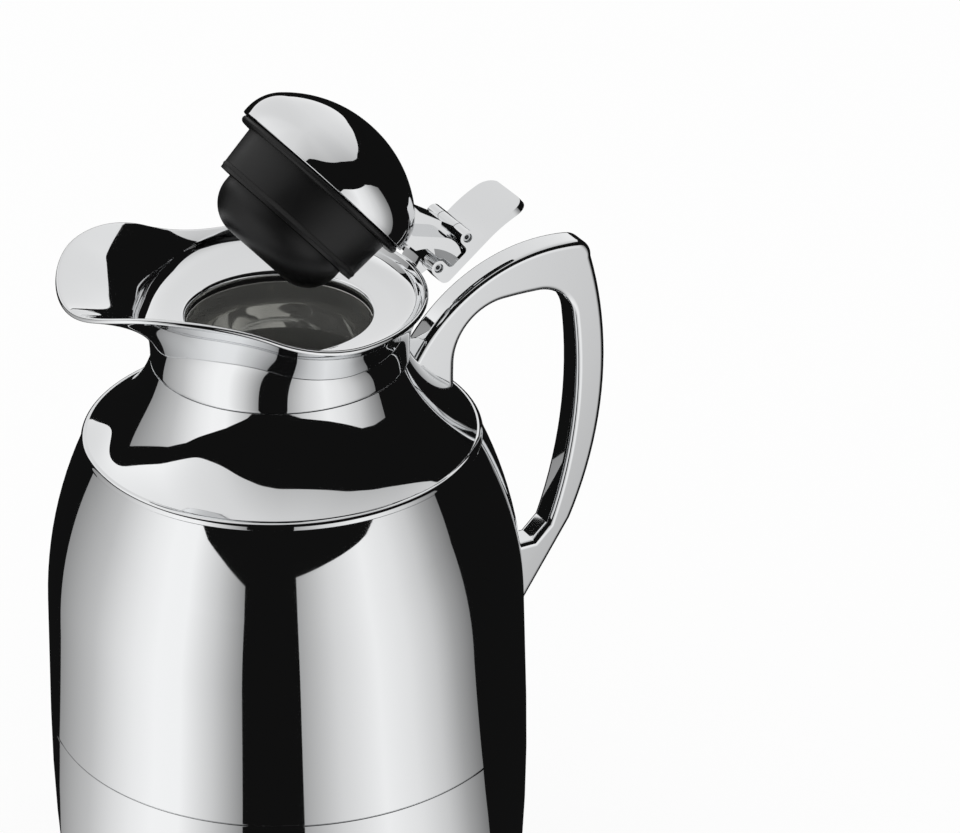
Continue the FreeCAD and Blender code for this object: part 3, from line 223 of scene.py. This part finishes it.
# %% [markdown]
# ## Outlines of straight runs and arcs
# Most pieces of a carafe are turned or pressed, so each is one outline spun about the axis. An outline
# is traced like a pen drawing: straight to a point, or along an arc. Arcs are cut fine, 2 degrees a step,
# because a mirror shows every corner.


# %% Trace an outline
def circle_through(first, middle, last):
    """Centre of the circle through three points."""
    rows = np.array([middle - first, last - first]) * 2
    sides = np.array([middle @ middle - first @ first, last @ last - first @ first])
    return np.linalg.solve(rows, sides)


def arc_points(first, middle, last, step=math.radians(2)):
    """Points after the first, along the arc through the middle to the last."""
    centre = circle_through(first, middle, last)
    radius = np.linalg.norm(first - centre)
    angles = [math.atan2(*(point - centre)[::-1]) for point in (first, middle, last)]
    sweep = (angles[2] - angles[0]) % (2 * math.pi)
    if (angles[1] - angles[0]) % (2 * math.pi) > sweep:
        sweep -= 2 * math.pi
    count = max(2, math.ceil(abs(sweep) / step))
    turns = angles[0] + sweep * np.arange(1, count + 1) / count
    return [centre + radius * np.array([math.cos(turn), math.sin(turn)]) for turn in turns]


def trace(start, *moves):
    """An outline: ("line", x, z), ("via", x, z, x, z), ("smooth", x, z) or ("bulge", x, z, sag)."""
    points = [np.array(start, float)]
    for kind, *numbers in moves:
        first, last = points[-1], np.array(numbers[2:4] if kind == "via" else numbers[:2], float)
        run = last - first
        if kind == "line":
            points.append(last)
            continue
        if kind == "via":
            middle = np.array(numbers[:2], float)
        elif kind == "bulge":
            middle = (first + last) / 2 + numbers[2] * np.array([run[1], -run[0]]) / np.linalg.norm(run)
        else:
            heading = (first - points[-2]) / np.linalg.norm(first - points[-2])
            turn = math.atan2(heading[0] * run[1] - heading[1] * run[0], heading @ run)
            sag = math.tan(turn / 2) * np.linalg.norm(run) / 2
            middle = (first + last) / 2 + sag * np.array([run[1], -run[0]]) / np.linalg.norm(run)
        points += arc_points(first, middle, last)
    return points


def sagitta(first, last, radius):
    """How far an arc of that radius stands off its chord."""
    half = math.dist(first, last) / 2
    return radius - math.sqrt(radius ** 2 - half ** 2)


# %% [markdown]
# ## Spinning an outline
# Blender has a Screw modifier for this, but building the rings of points directly keeps the poles clean
# and lets the seams between rings be exact. 288 steps round leave 1.25 degrees between them.


# %% Spin an outline into a mesh
TURNS = 288
SHARP = math.radians(24)


def piece_from(name, vertices, faces, finish, body, replaced, soften=0.0):
    """A mesh object in metres that rides on a body and stands for CAD nodes."""
    mesh = bpy.data.meshes.new(name)
    mesh.from_pydata([tuple(Vector(v) / 1000) for v in vertices], [], faces)
    mesh.validate()
    piece = bpy.data.objects.new(name, mesh)
    scene.collection.objects.link(piece)
    mesh.materials.append(finishes[finish])
    mesh.shade_smooth()
    mesh.set_sharp_from_angle(angle=SHARP)
    if soften:
        edge = piece.modifiers.new("rounded_edges", "BEVEL")
        edge.width = soften / 1000
        edge.segments = 3
        edge.limit_method = "ANGLE"
        edge.angle_limit = SHARP
        edge.harden_normals = True
    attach(piece, body)
    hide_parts(*replaced)
    print("%s: %d faces for %s" % (name, len(faces), ", ".join(replaced)))
    return piece


def spun(name, outline, finish, body, replaced, at=None, soften=0.25, turns=TURNS):
    """A closed outline (radius, height) spun about the upright axis, then put in place."""
    vertices, faces, rings = [], [], []
    for radius, height in outline:
        if radius < 1e-6:
            rings.append([len(vertices)] * turns)
            vertices.append(Vector((0, 0, height)))
            continue
        rings.append(list(range(len(vertices), len(vertices) + turns)))
        for step in range(turns):
            angle = 2 * math.pi * step / turns
            vertices.append(Vector((radius * math.cos(angle), radius * math.sin(angle), height)))
    for low, high in zip(rings, rings[1:] + rings[:1]):
        for step in range(turns):
            corner = [low[step], low[step - turns + 1], high[step - turns + 1], high[step]]
            corner = list(dict.fromkeys(corner))
            if len(corner) > 2:
                faces.append(corner)
    if at is not None:
        vertices = [at @ v for v in vertices]
    return piece_from(name, vertices, faces, finish, body, replaced, soften)


# %% [markdown]
# ## The two body shells
# The body is two drawn shells that meet at a crease 96 mm above the table. The lower one widens a
# little towards the crease. The jacket above runs almost straight, then curves in to the ridge. Each is
# an open shell 1.2 mm thick, so the outline goes up the outside and back down the inside.

# %% Lower shell and jacket
CREASE, WAIST, RIDGE, SEAM = 96.0, 136.0, 190.0, 216.7
CREASE_RADIUS, WAIST_RADIUS, RIDGE_RADIUS = 75.0, 73.95, 60.73
BASE_RADIUS, BASE_HEIGHT, BASE_EDGE, BASE_OPENING = 70.4, 2.5, 3.0, 58.0
WALL, RIDGE_FLANGE = 1.2, 5.0
LOWER_BEND, JACKET_SAG, JACKET_TOP_BORE = 614.0, 3.0, 59.4
edge_height, edge_radius = BASE_HEIGHT + BASE_EDGE, BASE_RADIUS - BASE_EDGE
lower_sag = sagitta((BASE_RADIUS, edge_height), (CREASE_RADIUS, CREASE), LOWER_BEND)
lower_outline = trace(
    (BASE_OPENING, BASE_HEIGHT), ("line", edge_radius, BASE_HEIGHT), ("smooth", BASE_RADIUS, edge_height),
    ("bulge", CREASE_RADIUS, CREASE, lower_sag), ("line", CREASE_RADIUS - WALL, CREASE),
    ("bulge", BASE_RADIUS - WALL, edge_height, -lower_sag), ("smooth", edge_radius, BASE_HEIGHT + WALL),
    ("line", BASE_OPENING, BASE_HEIGHT + WALL))
spun("lower_shell_skin", lower_outline, "polished_chrome", "body", ["lower_shell"], soften=0.5)
flange_bore = RIDGE_RADIUS - RIDGE_FLANGE
jacket_outline = trace(
    (CREASE_RADIUS, CREASE), ("line", WAIST_RADIUS, WAIST), ("smooth", RIDGE_RADIUS, RIDGE),
    ("line", flange_bore, RIDGE), ("line", flange_bore, RIDGE - WALL),
    ("line", JACKET_TOP_BORE, RIDGE - WALL),
    ("bulge", WAIST_RADIUS - WALL, WAIST, -JACKET_SAG), ("line", CREASE_RADIUS - WALL, CREASE))
spun("jacket_skin", jacket_outline, "polished_chrome", "body", ["outer_jacket"], soften=0.5)

# %% [markdown]
# ## The shoulder
# A pressed ring with a rolled ridge at its foot and a hollow sweep up to the neck. The sweep is an arc
# of 42.4 mm whose centre lies outside the body, and that is what squeezes reflections into bands.

# %% Shoulder
NECK, RIDGE_EDGE, RIDGE_STEP, SWEEP_BEND = 39.2, 61.33, 0.5, 42.4
sweep_foot = np.array([59.53, 192.1])
inner_foot = sweep_foot - WALL
shoulder_sag = sagitta(sweep_foot, (NECK, SEAM), SWEEP_BEND)
shoulder_outline = trace(
    (RIDGE_EDGE, RIDGE), ("line", RIDGE_EDGE, RIDGE + RIDGE_STEP), ("smooth", *sweep_foot),
    ("bulge", NECK, SEAM, -shoulder_sag), ("line", NECK - WALL, SEAM),
    ("bulge", *inner_foot, shoulder_sag), ("line", inner_foot[0], RIDGE))
spun("shoulder_skin", shoulder_outline, "polished_chrome", "body", ["shoulder"], soften=0.45)

# %% [markdown]
# ## The pouring collar
# The collar starts as a round neck and flares into an egg-shaped rim that leans out to the spout. Its
# height changes round the rim: level at the back, an S up to a crest, a droop at the lip. One rule gives
# the radius at every angle and height, so the mesh is a grid of sections: up the outside, round a
# rolled edge, down the bowl, across the ledge and into the mouth.

# %% Rim of the collar
FRONT, SIDE, BACK, EGG_POWER = 68.8, 48.5, 44.3, 2.05
RIM_FOOT, RIM_CREST, RIM_TIP = [np.array(p) for p in ((6.0, 21.5), (-53.0, 36.3), (-FRONT, 30.0))]
RIM_MIDDLE = (RIM_FOOT + RIM_CREST) / 2


def level_arc_radius(start, end):
    """Radius of the arc that leaves the start level and meets the end."""
    run = end - start
    return run @ run / (2 * abs(run[1]))


def rim_height(x):
    """Height of the rim over the neck seam."""
    if x >= RIM_FOOT[0]:
        return RIM_FOOT[1]
    if x >= RIM_MIDDLE[0]:
        bend = level_arc_radius(RIM_FOOT, RIM_MIDDLE)
        return RIM_FOOT[1] + bend - math.sqrt(bend ** 2 - (RIM_FOOT[0] - x) ** 2)
    end = RIM_MIDDLE if x >= RIM_CREST[0] else RIM_TIP
    bend = level_arc_radius(RIM_CREST, end)
    return RIM_CREST[1] - bend + math.sqrt(bend ** 2 - (x - RIM_CREST[0]) ** 2)


def rim_radius(angle):
    """Radius of the egg-shaped rim at an angle from the handle."""
    along, beside = abs(math.cos(angle)), abs(math.sin(angle))
    if math.cos(angle) < 0:
        return ((along / FRONT) ** EGG_POWER + (beside / SIDE) ** EGG_POWER) ** (-1 / EGG_POWER)
    return ((along / BACK) ** 2 + (beside / SIDE) ** 2) ** -0.5


# %% One section of the collar
BEAD, RIM_WALL, FOOT_ROUND = 0.8, 1.6, 0.5
FLARE_BACK, FLARE_GAIN = 2.4, 0.6
LEDGE, LEDGE_SLOPE, LEDGE_WALL, LEDGE_EDGE = 14.4, 0.14, 1.8, 34.0
MOUTH, NECK_BORE, BOWL_RISE, BOWL_CORNER = 28.0, 37.2, 5.2, 1.2
WALL_STEPS, BEAD_STEPS, BOWL_STEPS, FILLET_STEPS = 40, 24, 24, 16


def ledge_point(radius):
    """A point of the ledge, which falls gently towards the mouth."""
    return np.array([radius, LEDGE + LEDGE_SLOPE * (radius - MOUTH)])


def collar_section(angle):
    """Radius and height, over the neck seam, of all points of the collar at one angle."""
    rim = rim_radius(angle)
    height = rim_height(rim * math.cos(angle))
    power = FLARE_BACK + FLARE_GAIN * (1 - math.cos(angle)) / 2

    def wall(z):
        """A point of the outside with its directions up the wall and into it."""
        slope = (rim - NECK) * power * (z / height) ** (power - 1) / height
        up = np.array([slope, 1.0]) / math.hypot(slope, 1)
        return np.array([NECK + (rim - NECK) * (z / height) ** power, z]), up, np.array([-up[1], up[0]])

    top = height - BEAD * wall(height)[1][1]
    chamfer = FOOT_ROUND * 0.3
    points = [np.array([NECK - FOOT_ROUND, 0.0]), np.array([NECK - chamfer, chamfer])]
    points += [wall(FOOT_ROUND + (top - FOOT_ROUND) * step / WALL_STEPS)[0] for step in range(WALL_STEPS + 1)]
    edge, up, inward = wall(top)
    middle = edge + inward * BEAD
    for step in range(1, BEAD_STEPS + 1):
        turn = math.radians(180 - 180 * step / BEAD_STEPS)
        points.append(middle + BEAD * (math.cos(turn) * inward + math.sin(turn) * up))
    for step in range(1, BOWL_STEPS + 1):
        start, _, inside = wall(top + (LEDGE + BOWL_RISE - top) * step / BOWL_STEPS)
        points.append(start + inside * RIM_WALL)
    bowl_foot, ledge_edge = points[-1], ledge_point(LEDGE_EDGE)
    corner = ledge_point(bowl_foot[0] - BOWL_CORNER)
    for step in range(1, FILLET_STEPS + 1):
        share = step / FILLET_STEPS
        rest = 1 - share
        points.append(rest ** 2 * bowl_foot + 2 * share * rest * corner + share ** 2 * ledge_edge)
    points += [ledge_point(radius) for radius in (32.5, 31.0, 29.6)]
    lip_middle, lip_end = np.array([MOUTH + 0.44, LEDGE - 0.3]), np.array([MOUTH, LEDGE - 1.4])
    points += arc_points(points[-1], lip_middle, lip_end, math.radians(9))
    underside = LEDGE - LEDGE_WALL
    points += [np.array(p) for p in ((MOUTH, underside), (NECK_BORE, underside), (NECK_BORE, 0.0))]
    return points


# %% Pouring collar
COLLAR_TURNS = 360
sections = [collar_section(2 * math.pi * step / COLLAR_TURNS) for step in range(COLLAR_TURNS)]
count = len(sections[0])
vertices, faces = [], []
for step, section in enumerate(sections):
    angle = 2 * math.pi * step / COLLAR_TURNS
    vertices += [(r * math.cos(angle), r * math.sin(angle), SEAM + z) for r, z in section]
for step in range(COLLAR_TURNS):
    here, there = step * count, (step + 1) % COLLAR_TURNS * count
    for i in range(count):
        j = (i + 1) % count
        faces.append((here + i, there + i, there + j, here + j))
piece_from("collar_skin", vertices, faces, "polished_chrome", "body", ["pouring_collar"])

# %% [markdown]
# ## The handle
# A solid bar of one width, bent to suit a hand, with flat polished sides. Its outline is drawn from the
# side and pulled out 10 mm wide. The long edges are rounded by 2.2 mm: towards each side the outline
# shrinks along a quarter circle. Weighted normals keep the flat sides flat in the mirror.

# %% Handle
handle_outline = trace(
    (43.5, 206.3), ("via", 62, 225.2, 96, 234.1), ("smooth", 101, 233.6), ("smooth", 106, 227.5),
    ("via", 111.3, 188, 99.4, 136), ("line", 72.8, 95.66), ("line", 72.8, 131.3), ("line", 86, 131.3),
    ("line", 91, 136), ("via", 100.7, 188, 99.5, 208), ("smooth", 87, 219.5), ("smooth", 75, 219.5),
    ("smooth", 57.5, 202), ("smooth", 57.5, 190.5), ("line", 49.4, 197.5), ("line", 45, 202),
    ("line", 42, 206.3))
HANDLE_HALF, HANDLE_ROUND, ROUND_STEPS = 5.0, 2.2, 8
corners = np.array(handle_outline)
before, after = corners - np.roll(corners, 1, 0), np.roll(corners, -1, 0) - corners
before, after = [run / np.linalg.norm(run, axis=1, keepdims=True) for run in (before, after)]
inward = np.stack([before[:, 1] + after[:, 1], -before[:, 0] - after[:, 0]], 1)
inward /= 1 + (before * after).sum(1, keepdims=True)
count = len(corners)
vertices, faces = [], []
for side in (-1, 1):
    for step in range(ROUND_STEPS + 1)[::-side]:
        turn = math.radians(90 * step / ROUND_STEPS)
        ring = corners + inward * HANDLE_ROUND * (1 - math.sin(turn))
        width = HANDLE_HALF - HANDLE_ROUND * (1 - math.cos(turn))
        vertices += [(x, side * width, z) for x, z in ring]
for low in range(0, len(vertices) - count, count):
    high = low + count
    for here in range(count):
        there = (here + 1) % count
        faces.append((low + there, low + here, high + here, high + there))
faces += [tuple(range(count)), tuple(reversed(range(len(vertices) - count, len(vertices))))]
handle = piece_from("handle_bar", vertices, faces, "polished_chrome", "body", ["handle"])
handle.modifiers.new("flat_sides", "WEIGHTED_NORMAL").keep_sharp = True

# %% [markdown]
# ## The lid
# Lid pieces are drawn upright, as if the lid were shut, with the flange's middle at the origin. One
# matrix then swings them open about the upper pin, as far as the photograph shows.

# %% Where the open lid sits
LOWER_PIN, UPPER_PIN, PIN_SPACING = (48.5, 239.1), (58.43912, 247.00594), 12.7
LID_SEAT, SHUT_LEAN, OPEN_ANGLE = 233.208, -9.5, 48.8
shut_lean = math.radians(SHUT_LEAN)
shut_pin = Vector((LOWER_PIN[0] + PIN_SPACING * math.sin(shut_lean), 0,
                   LOWER_PIN[1] - LID_SEAT + PIN_SPACING * math.cos(shut_lean)))
open_pin = Vector((UPPER_PIN[0], 0, UPPER_PIN[1]))
open_turn = Matrix.Rotation(math.radians(OPEN_ANGLE), 4, "Y")
lid_place = Matrix.Translation(open_pin) @ open_turn @ Matrix.Translation(-shut_pin)
print("lid origin:", [round(c, 2) for c in lid_place.translation])

# %% [markdown]
# ## Dome and stopper
# The dome is a pressed cap: a short upright band, a rounded shoulder and a crown that is part of a
# ball. The stopper below is moulded: a thin flange, a plug that tapers, a soft sealing ring and a
# hollow cup with a generous round.

# %% Dome
DOME_RADIUS, DOME_FOOT, DOME_TOP, DOME_WALL = 31.1, 1.5, 23.6, 1.3
BAND_TOP, INNER_BAND_TOP, INNER_SAG = 2.98, 8.4, 3.64
dome_bore = DOME_RADIUS - DOME_WALL
dome_outline = trace(
    (DOME_RADIUS, DOME_FOOT), ("line", DOME_RADIUS, BAND_TOP), ("smooth", 26.5, 13.3),
    ("smooth", 0, DOME_TOP),
    ("line", 0, DOME_TOP - DOME_WALL), ("bulge", dome_bore, INNER_BAND_TOP, -INNER_SAG),
    ("line", dome_bore, DOME_FOOT))
spun("lid_cap", dome_outline, "polished_chrome", "lid", ["lid_dome"], lid_place, soften=0.35)

# %% Stopper
plug_outline = trace(
    (21.4, -15.1), ("line", 25.4, -15.1), ("line", 25.47, -14.1), ("line", 24.2, -14.1),
    ("line", 24.2, -12.7), ("line", 25.58, -12.7), ("line", 26.4, -0.9), ("line", 29.3, -0.9),
    ("bulge", 29.3, 1.5, 0.9),
    ("line", 29.3, 2.7), ("line", 27.6, 2.7), ("line", 27.6, 1.5), ("line", 2.1, 1.5), ("line", 2.1, -4.0),
    ("line", 21.4, -4.0))
spun("stopper_plug", plug_outline, "black_plastic", "lid", ["stopper_body"], lid_place, soften=0.3)
seal_outline = trace(
    (24.22, -14.1), ("line", 25.47, -14.1), ("bulge", 25.47, -12.7, 0.22), ("line", 24.22, -12.7))
spun("stopper_ring", seal_outline, "rubber", "lid", ["stopper_seal"], lid_place, soften=0.05)
cup_outline = trace(
    (0, -27.7), ("line", 10.7, -27.7), ("smooth", 21.7, -16.7), ("line", 21.7, -15.1), ("line", 21.2, -15.1),
    ("line", 21.2, -10.1), ("line", 19.2, -10.1), ("line", 19.2, -14.7),
    ("via", 15.978, -22.478, 8.2, -25.7), ("line", 0, -25.7))
spun("stopper_cap", cup_outline, "black_plastic", "lid", ["stopper_cup"], lid_place, soften=0.2)

# %% [markdown]
# ## Hinge pins
# Each pin is a turned rod with a chamfered end and a drilled centre, set a little below the eye's face.
# It lies across the carafe, so it is spun upright and then laid on its side.

# %% Pins
pin_outline = trace(
    (0, -9.4), ("line", 0.7, -9.4), ("line", 0.7, -10.45), ("line", 1.3, -10.45), ("line", 1.5, -10.25),
    ("line", 1.5, 10.25), ("line", 1.3, 10.45), ("line", 0.7, 10.45), ("line", 0.7, 9.4), ("line", 0, 9.4))
for name, body, spot in (("lever_pin", "body", LOWER_PIN), ("lid_pin", "lever", UPPER_PIN)):
    laid = Matrix.Translation(Vector((spot[0], 0, spot[1]))) @ Matrix.Rotation(math.radians(90), 4, "X")
    spun(name + "_turned", pin_outline, "steel", body, [name], laid, soften=0.08, turns=64)

# %% [markdown]
# ## Flask
# Through the mouth one looks into the inner flask: a blown bottle with a round bottom, a straight side
# and a drawn-in neck that ends in a lip under the collar's ledge.

# %% Flask
flask_outline = trace(
    (0, 34.6), ("via", 35.355, 49.245, 50, 84.6), ("line", 50, 158), ("smooth", 28, 193.1),
    ("line", 28, 227.8), ("line", 34.5, 227.8), ("line", 34.5, 226), ("line", 29.8, 226),
    ("line", 29.8, 194.9),
    ("bulge", 51.8, 158, 8.6), ("line", 51.8, 84.6), ("via", 36.63, 47.97, 0, 32.8))
spun("flask_glass", flask_outline, "silvered_glass", "body", ["inner_flask"], soften=0.3)

# %% [markdown]
# ## The studio
# Chrome is only as good as what it reflects. The carafe stands on white paper in a white room. For its
# mirror there is a black tent round it with lit cards: a softbox on each side of the camera and a broad
# sheet just overhead. Tent and cards are seen in reflections alone, so they neither shade the plastic nor
# show in the picture. The paper is clear from below, so that the base can be looked at.

# %% Floor and white room
FLOOR_HALF, FLOOR_LEVEL, FLOOR_GLOW = 6, -0.0003, 0.85
floor_mesh = bpy.data.meshes.new("floor")
floor_corners = ((-1, -1), (1, -1), (1, 1), (-1, 1))
floor_points = [(FLOOR_HALF * x, FLOOR_HALF * y, FLOOR_LEVEL) for x, y in floor_corners]
floor_mesh.from_pydata(floor_points, [], [(0, 1, 2, 3)])
floor = bpy.data.objects.new("floor", floor_mesh)
scene.collection.objects.link(floor)
paper, tree, shader, _ = new_material("white_paper_floor", Base_Color=linear("#F7F7F7"), Roughness=0.9)
path = add_node(tree, "ShaderNodeLightPath")
glow = add_node(tree, "ShaderNodeEmission", sockets={"Color": linear("#FFFFFF"), "Strength": 1.0})
share = add_node(tree, "ShaderNodeMath", {"operation": "MULTIPLY"}, {
    0: path.outputs["Is Camera Ray"], 1: FLOOR_GLOW})
blend = add_node(tree, "ShaderNodeMixShader", sockets={
    0: share.outputs[0], 1: shader.outputs["BSDF"], 2: glow.outputs["Emission"]})
sides = add_node(tree, "ShaderNodeNewGeometry")
clear = add_node(tree, "ShaderNodeBsdfTransparent")
one_sided = add_node(tree, "ShaderNodeMixShader", sockets={
    0: sides.outputs["Backfacing"], 1: blend.outputs[0], 2: clear.outputs["BSDF"]})
tree.links.new(one_sided.outputs[0], tree.nodes["Material Output"].inputs["Surface"])
floor_mesh.materials.append(paper)
world = bpy.data.worlds.new("white_room")
scene.world = world
world.use_nodes = True
background = world.node_tree.nodes["Background"]
background.inputs["Color"].default_value = linear("#FFFFFF")
background.inputs["Strength"].default_value = 1.0
print("stage: white paper and white room")

# %% Cards that only reflections see
card_light = bpy.data.materials.new("studio_card_light")
card_light.use_nodes = True
tree = card_light.node_tree
tree.nodes.remove(tree.nodes["Principled BSDF"])
level = add_node(tree, "ShaderNodeAttribute", {"attribute_name": "light"})
lit = add_node(tree, "ShaderNodeEmission", sockets={"Strength": level.outputs["Fac"]})
tree.links.new(lit.outputs["Emission"], tree.nodes["Material Output"].inputs["Surface"])


def studio_card(name, rows, lights):
    """A sheet through rows of points in metres, with a light level at each point."""
    width = len(rows[0])
    faces = [(i * width + j, i * width + j + 1, (i + 1) * width + j + 1, (i + 1) * width + j)
             for i in range(len(rows) - 1) for j in range(width - 1)]
    mesh = bpy.data.meshes.new(name)
    mesh.from_pydata([point for row in rows for point in row], [], faces)
    mesh.attributes.new("light", "FLOAT", "POINT").data.foreach_set("value", np.ravel(lights))
    mesh.materials.append(card_light)
    card = bpy.data.objects.new(name, mesh)
    scene.collection.objects.link(card)
    card.visible_camera = card.visible_diffuse = card.visible_shadow = False
    print("stage card:", name, len(faces), "faces")


def on_ground(bearing, reach, height):
    """A point by its bearing from the handle's side, its distance from the axis and its height."""
    turn = math.radians(bearing)
    return reach * math.cos(turn), reach * math.sin(turn), height


def on_tent(bearing, rise, radius):
    """A point of a round tent, by its bearing and its angle over the horizon."""
    return on_ground(bearing, radius * math.cos(math.radians(rise)), radius * math.sin(math.radians(rise)))


def between(bearings, table, column):
    """One column of a table at each bearing, read between its rows."""
    return np.interp(bearings, [row[0] for row in table], [row[column] for row in table])


CARD_STEPS = 12
CARD_POINTS = CARD_STEPS + 1


def upright_card(name, edges, radius):
    """A card between a lower and an upper edge; edges are (bearing, lower, upper, light)."""
    bearings = np.arange(edges[0][0], edges[-1][0] + 0.5, 1.0)
    lows, highs, lights = [between(bearings, edges, column) for column in (1, 2, 3)]
    rows = [[on_tent(b, low + (high - low) * k / CARD_STEPS, radius) for k in range(CARD_POINTS)]
            for b, low, high in zip(bearings, lows, highs)]
    studio_card(name, rows, [[light] * CARD_POINTS for light in lights])
    return bearings, lights


def floor_card(name, bearings, lights, height):
    """A wedge of card on the floor, from the foot outwards."""
    reaches = (0.085, 0.4, 2.0, 9.0)
    rows = [[on_ground(b, reach, height) for reach in reaches] for b in bearings]
    studio_card(name, rows, [[light] * len(reaches) for light in lights])


# %% Black tent and softboxes
TENT_RADIUS, SOFTBOX_RADIUS, TENT_LIGHT = 4.0, 3.9, 0.006
BLACK_FLOOR_LEVEL, LIT_FLOOR_LEVEL = 0.0004, 0.0008
around, rises = np.arange(0, 361, 5), range(-2, 91, 4)
tent_rows = [[on_tent(b, rise, TENT_RADIUS) for rise in rises] for b in around]
studio_card("black_tent", tent_rows, [[TENT_LIGHT] * len(rises)] * len(around))
floor_card("black_floor", around, [TENT_LIGHT] * len(around), BLACK_FLOOR_LEVEL)
softboxes = {
    "left_softbox": ((120, -2, 25, 0.30), (150, -2, 30, 0.58), (165, -2, 29, 0.81), (175, -2, 26, 0.94),
                     (186, -2, 23.5, 1.03), (198, -2, 20.5, 1.02), (212, -2, 15, 0.68), (225, -2, 9, 0.30)),
    "right_softbox": ((-110.5, -2, 12, 0.42), (-95, -2, 14.5, 0.74), (-77, -2, 17, 0.98), (-62, -2, 20, 0.86),
                      (-49, -2, 23, 0.66), (-38, -2, 21, 0.40), (-26, -2, 16, 0.20)),
}
for name, edges in softboxes.items():
    bearings, lights = upright_card(name, edges, SOFTBOX_RADIUS)
    floor_card(name + "_floor", bearings, lights, LIT_FLOOR_LEVEL)

# %% [markdown]
# ## The overhead sheet
# Its edge is a table of bearing, reach and light. A smooth window of 19 degrees runs over the table, so
# the edge has no corners in the mirror. The light blends to its mean at the middle.

# %% Overhead sheet
SHEET_HEIGHT, WINDOW = 0.45, 19
sheet_edge = (
    (-180, 0.36, 0.85), (-165, 0.30, 0.78), (-150, 0.225, 0.65), (-135, 0.18, 0.58), (-120, 0.162, 0.55),
    (-90, 0.16, 0.55), (-60, 0.16, 0.52), (-40, 0.18, 0.52), (-20, 0.22, 0.55), (0, 0.27, 0.65),
    (20, 0.33, 0.8), (36, 0.45, 0.9), (46, 0.75, 0.95), (55, 1.1, 0.95), (62, 1.35, 0.95), (75, 2.6, 0.9),
    (92, 2.6, 0.85), (110, 0.6, 0.95), (120, 0.42, 1.0), (150, 0.36, 1.05), (180, 0.37, 0.85))
bearings = np.arange(-180, 181, 1.0)
window = np.hanning(WINDOW) / np.hanning(WINDOW).sum()
reaches, lights = [
    np.convolve(np.pad(between(bearings[:-1], sheet_edge, column), WINDOW // 2, "wrap"), window, "valid")
    for column in (1, 2)]
mean_light = lights.mean()
reaches, lights = np.append(reaches, reaches[0]), np.append(lights, lights[0])
shares = [k / CARD_STEPS for k in range(CARD_POINTS)]
rows = [[on_ground(b, reach * share, SHEET_HEIGHT) for share in shares]
        for b, reach in zip(bearings, reaches)]
studio_card("overhead_sheet", rows, [
    [mean_light + (light - mean_light) * share for share in shares] for light in lights])
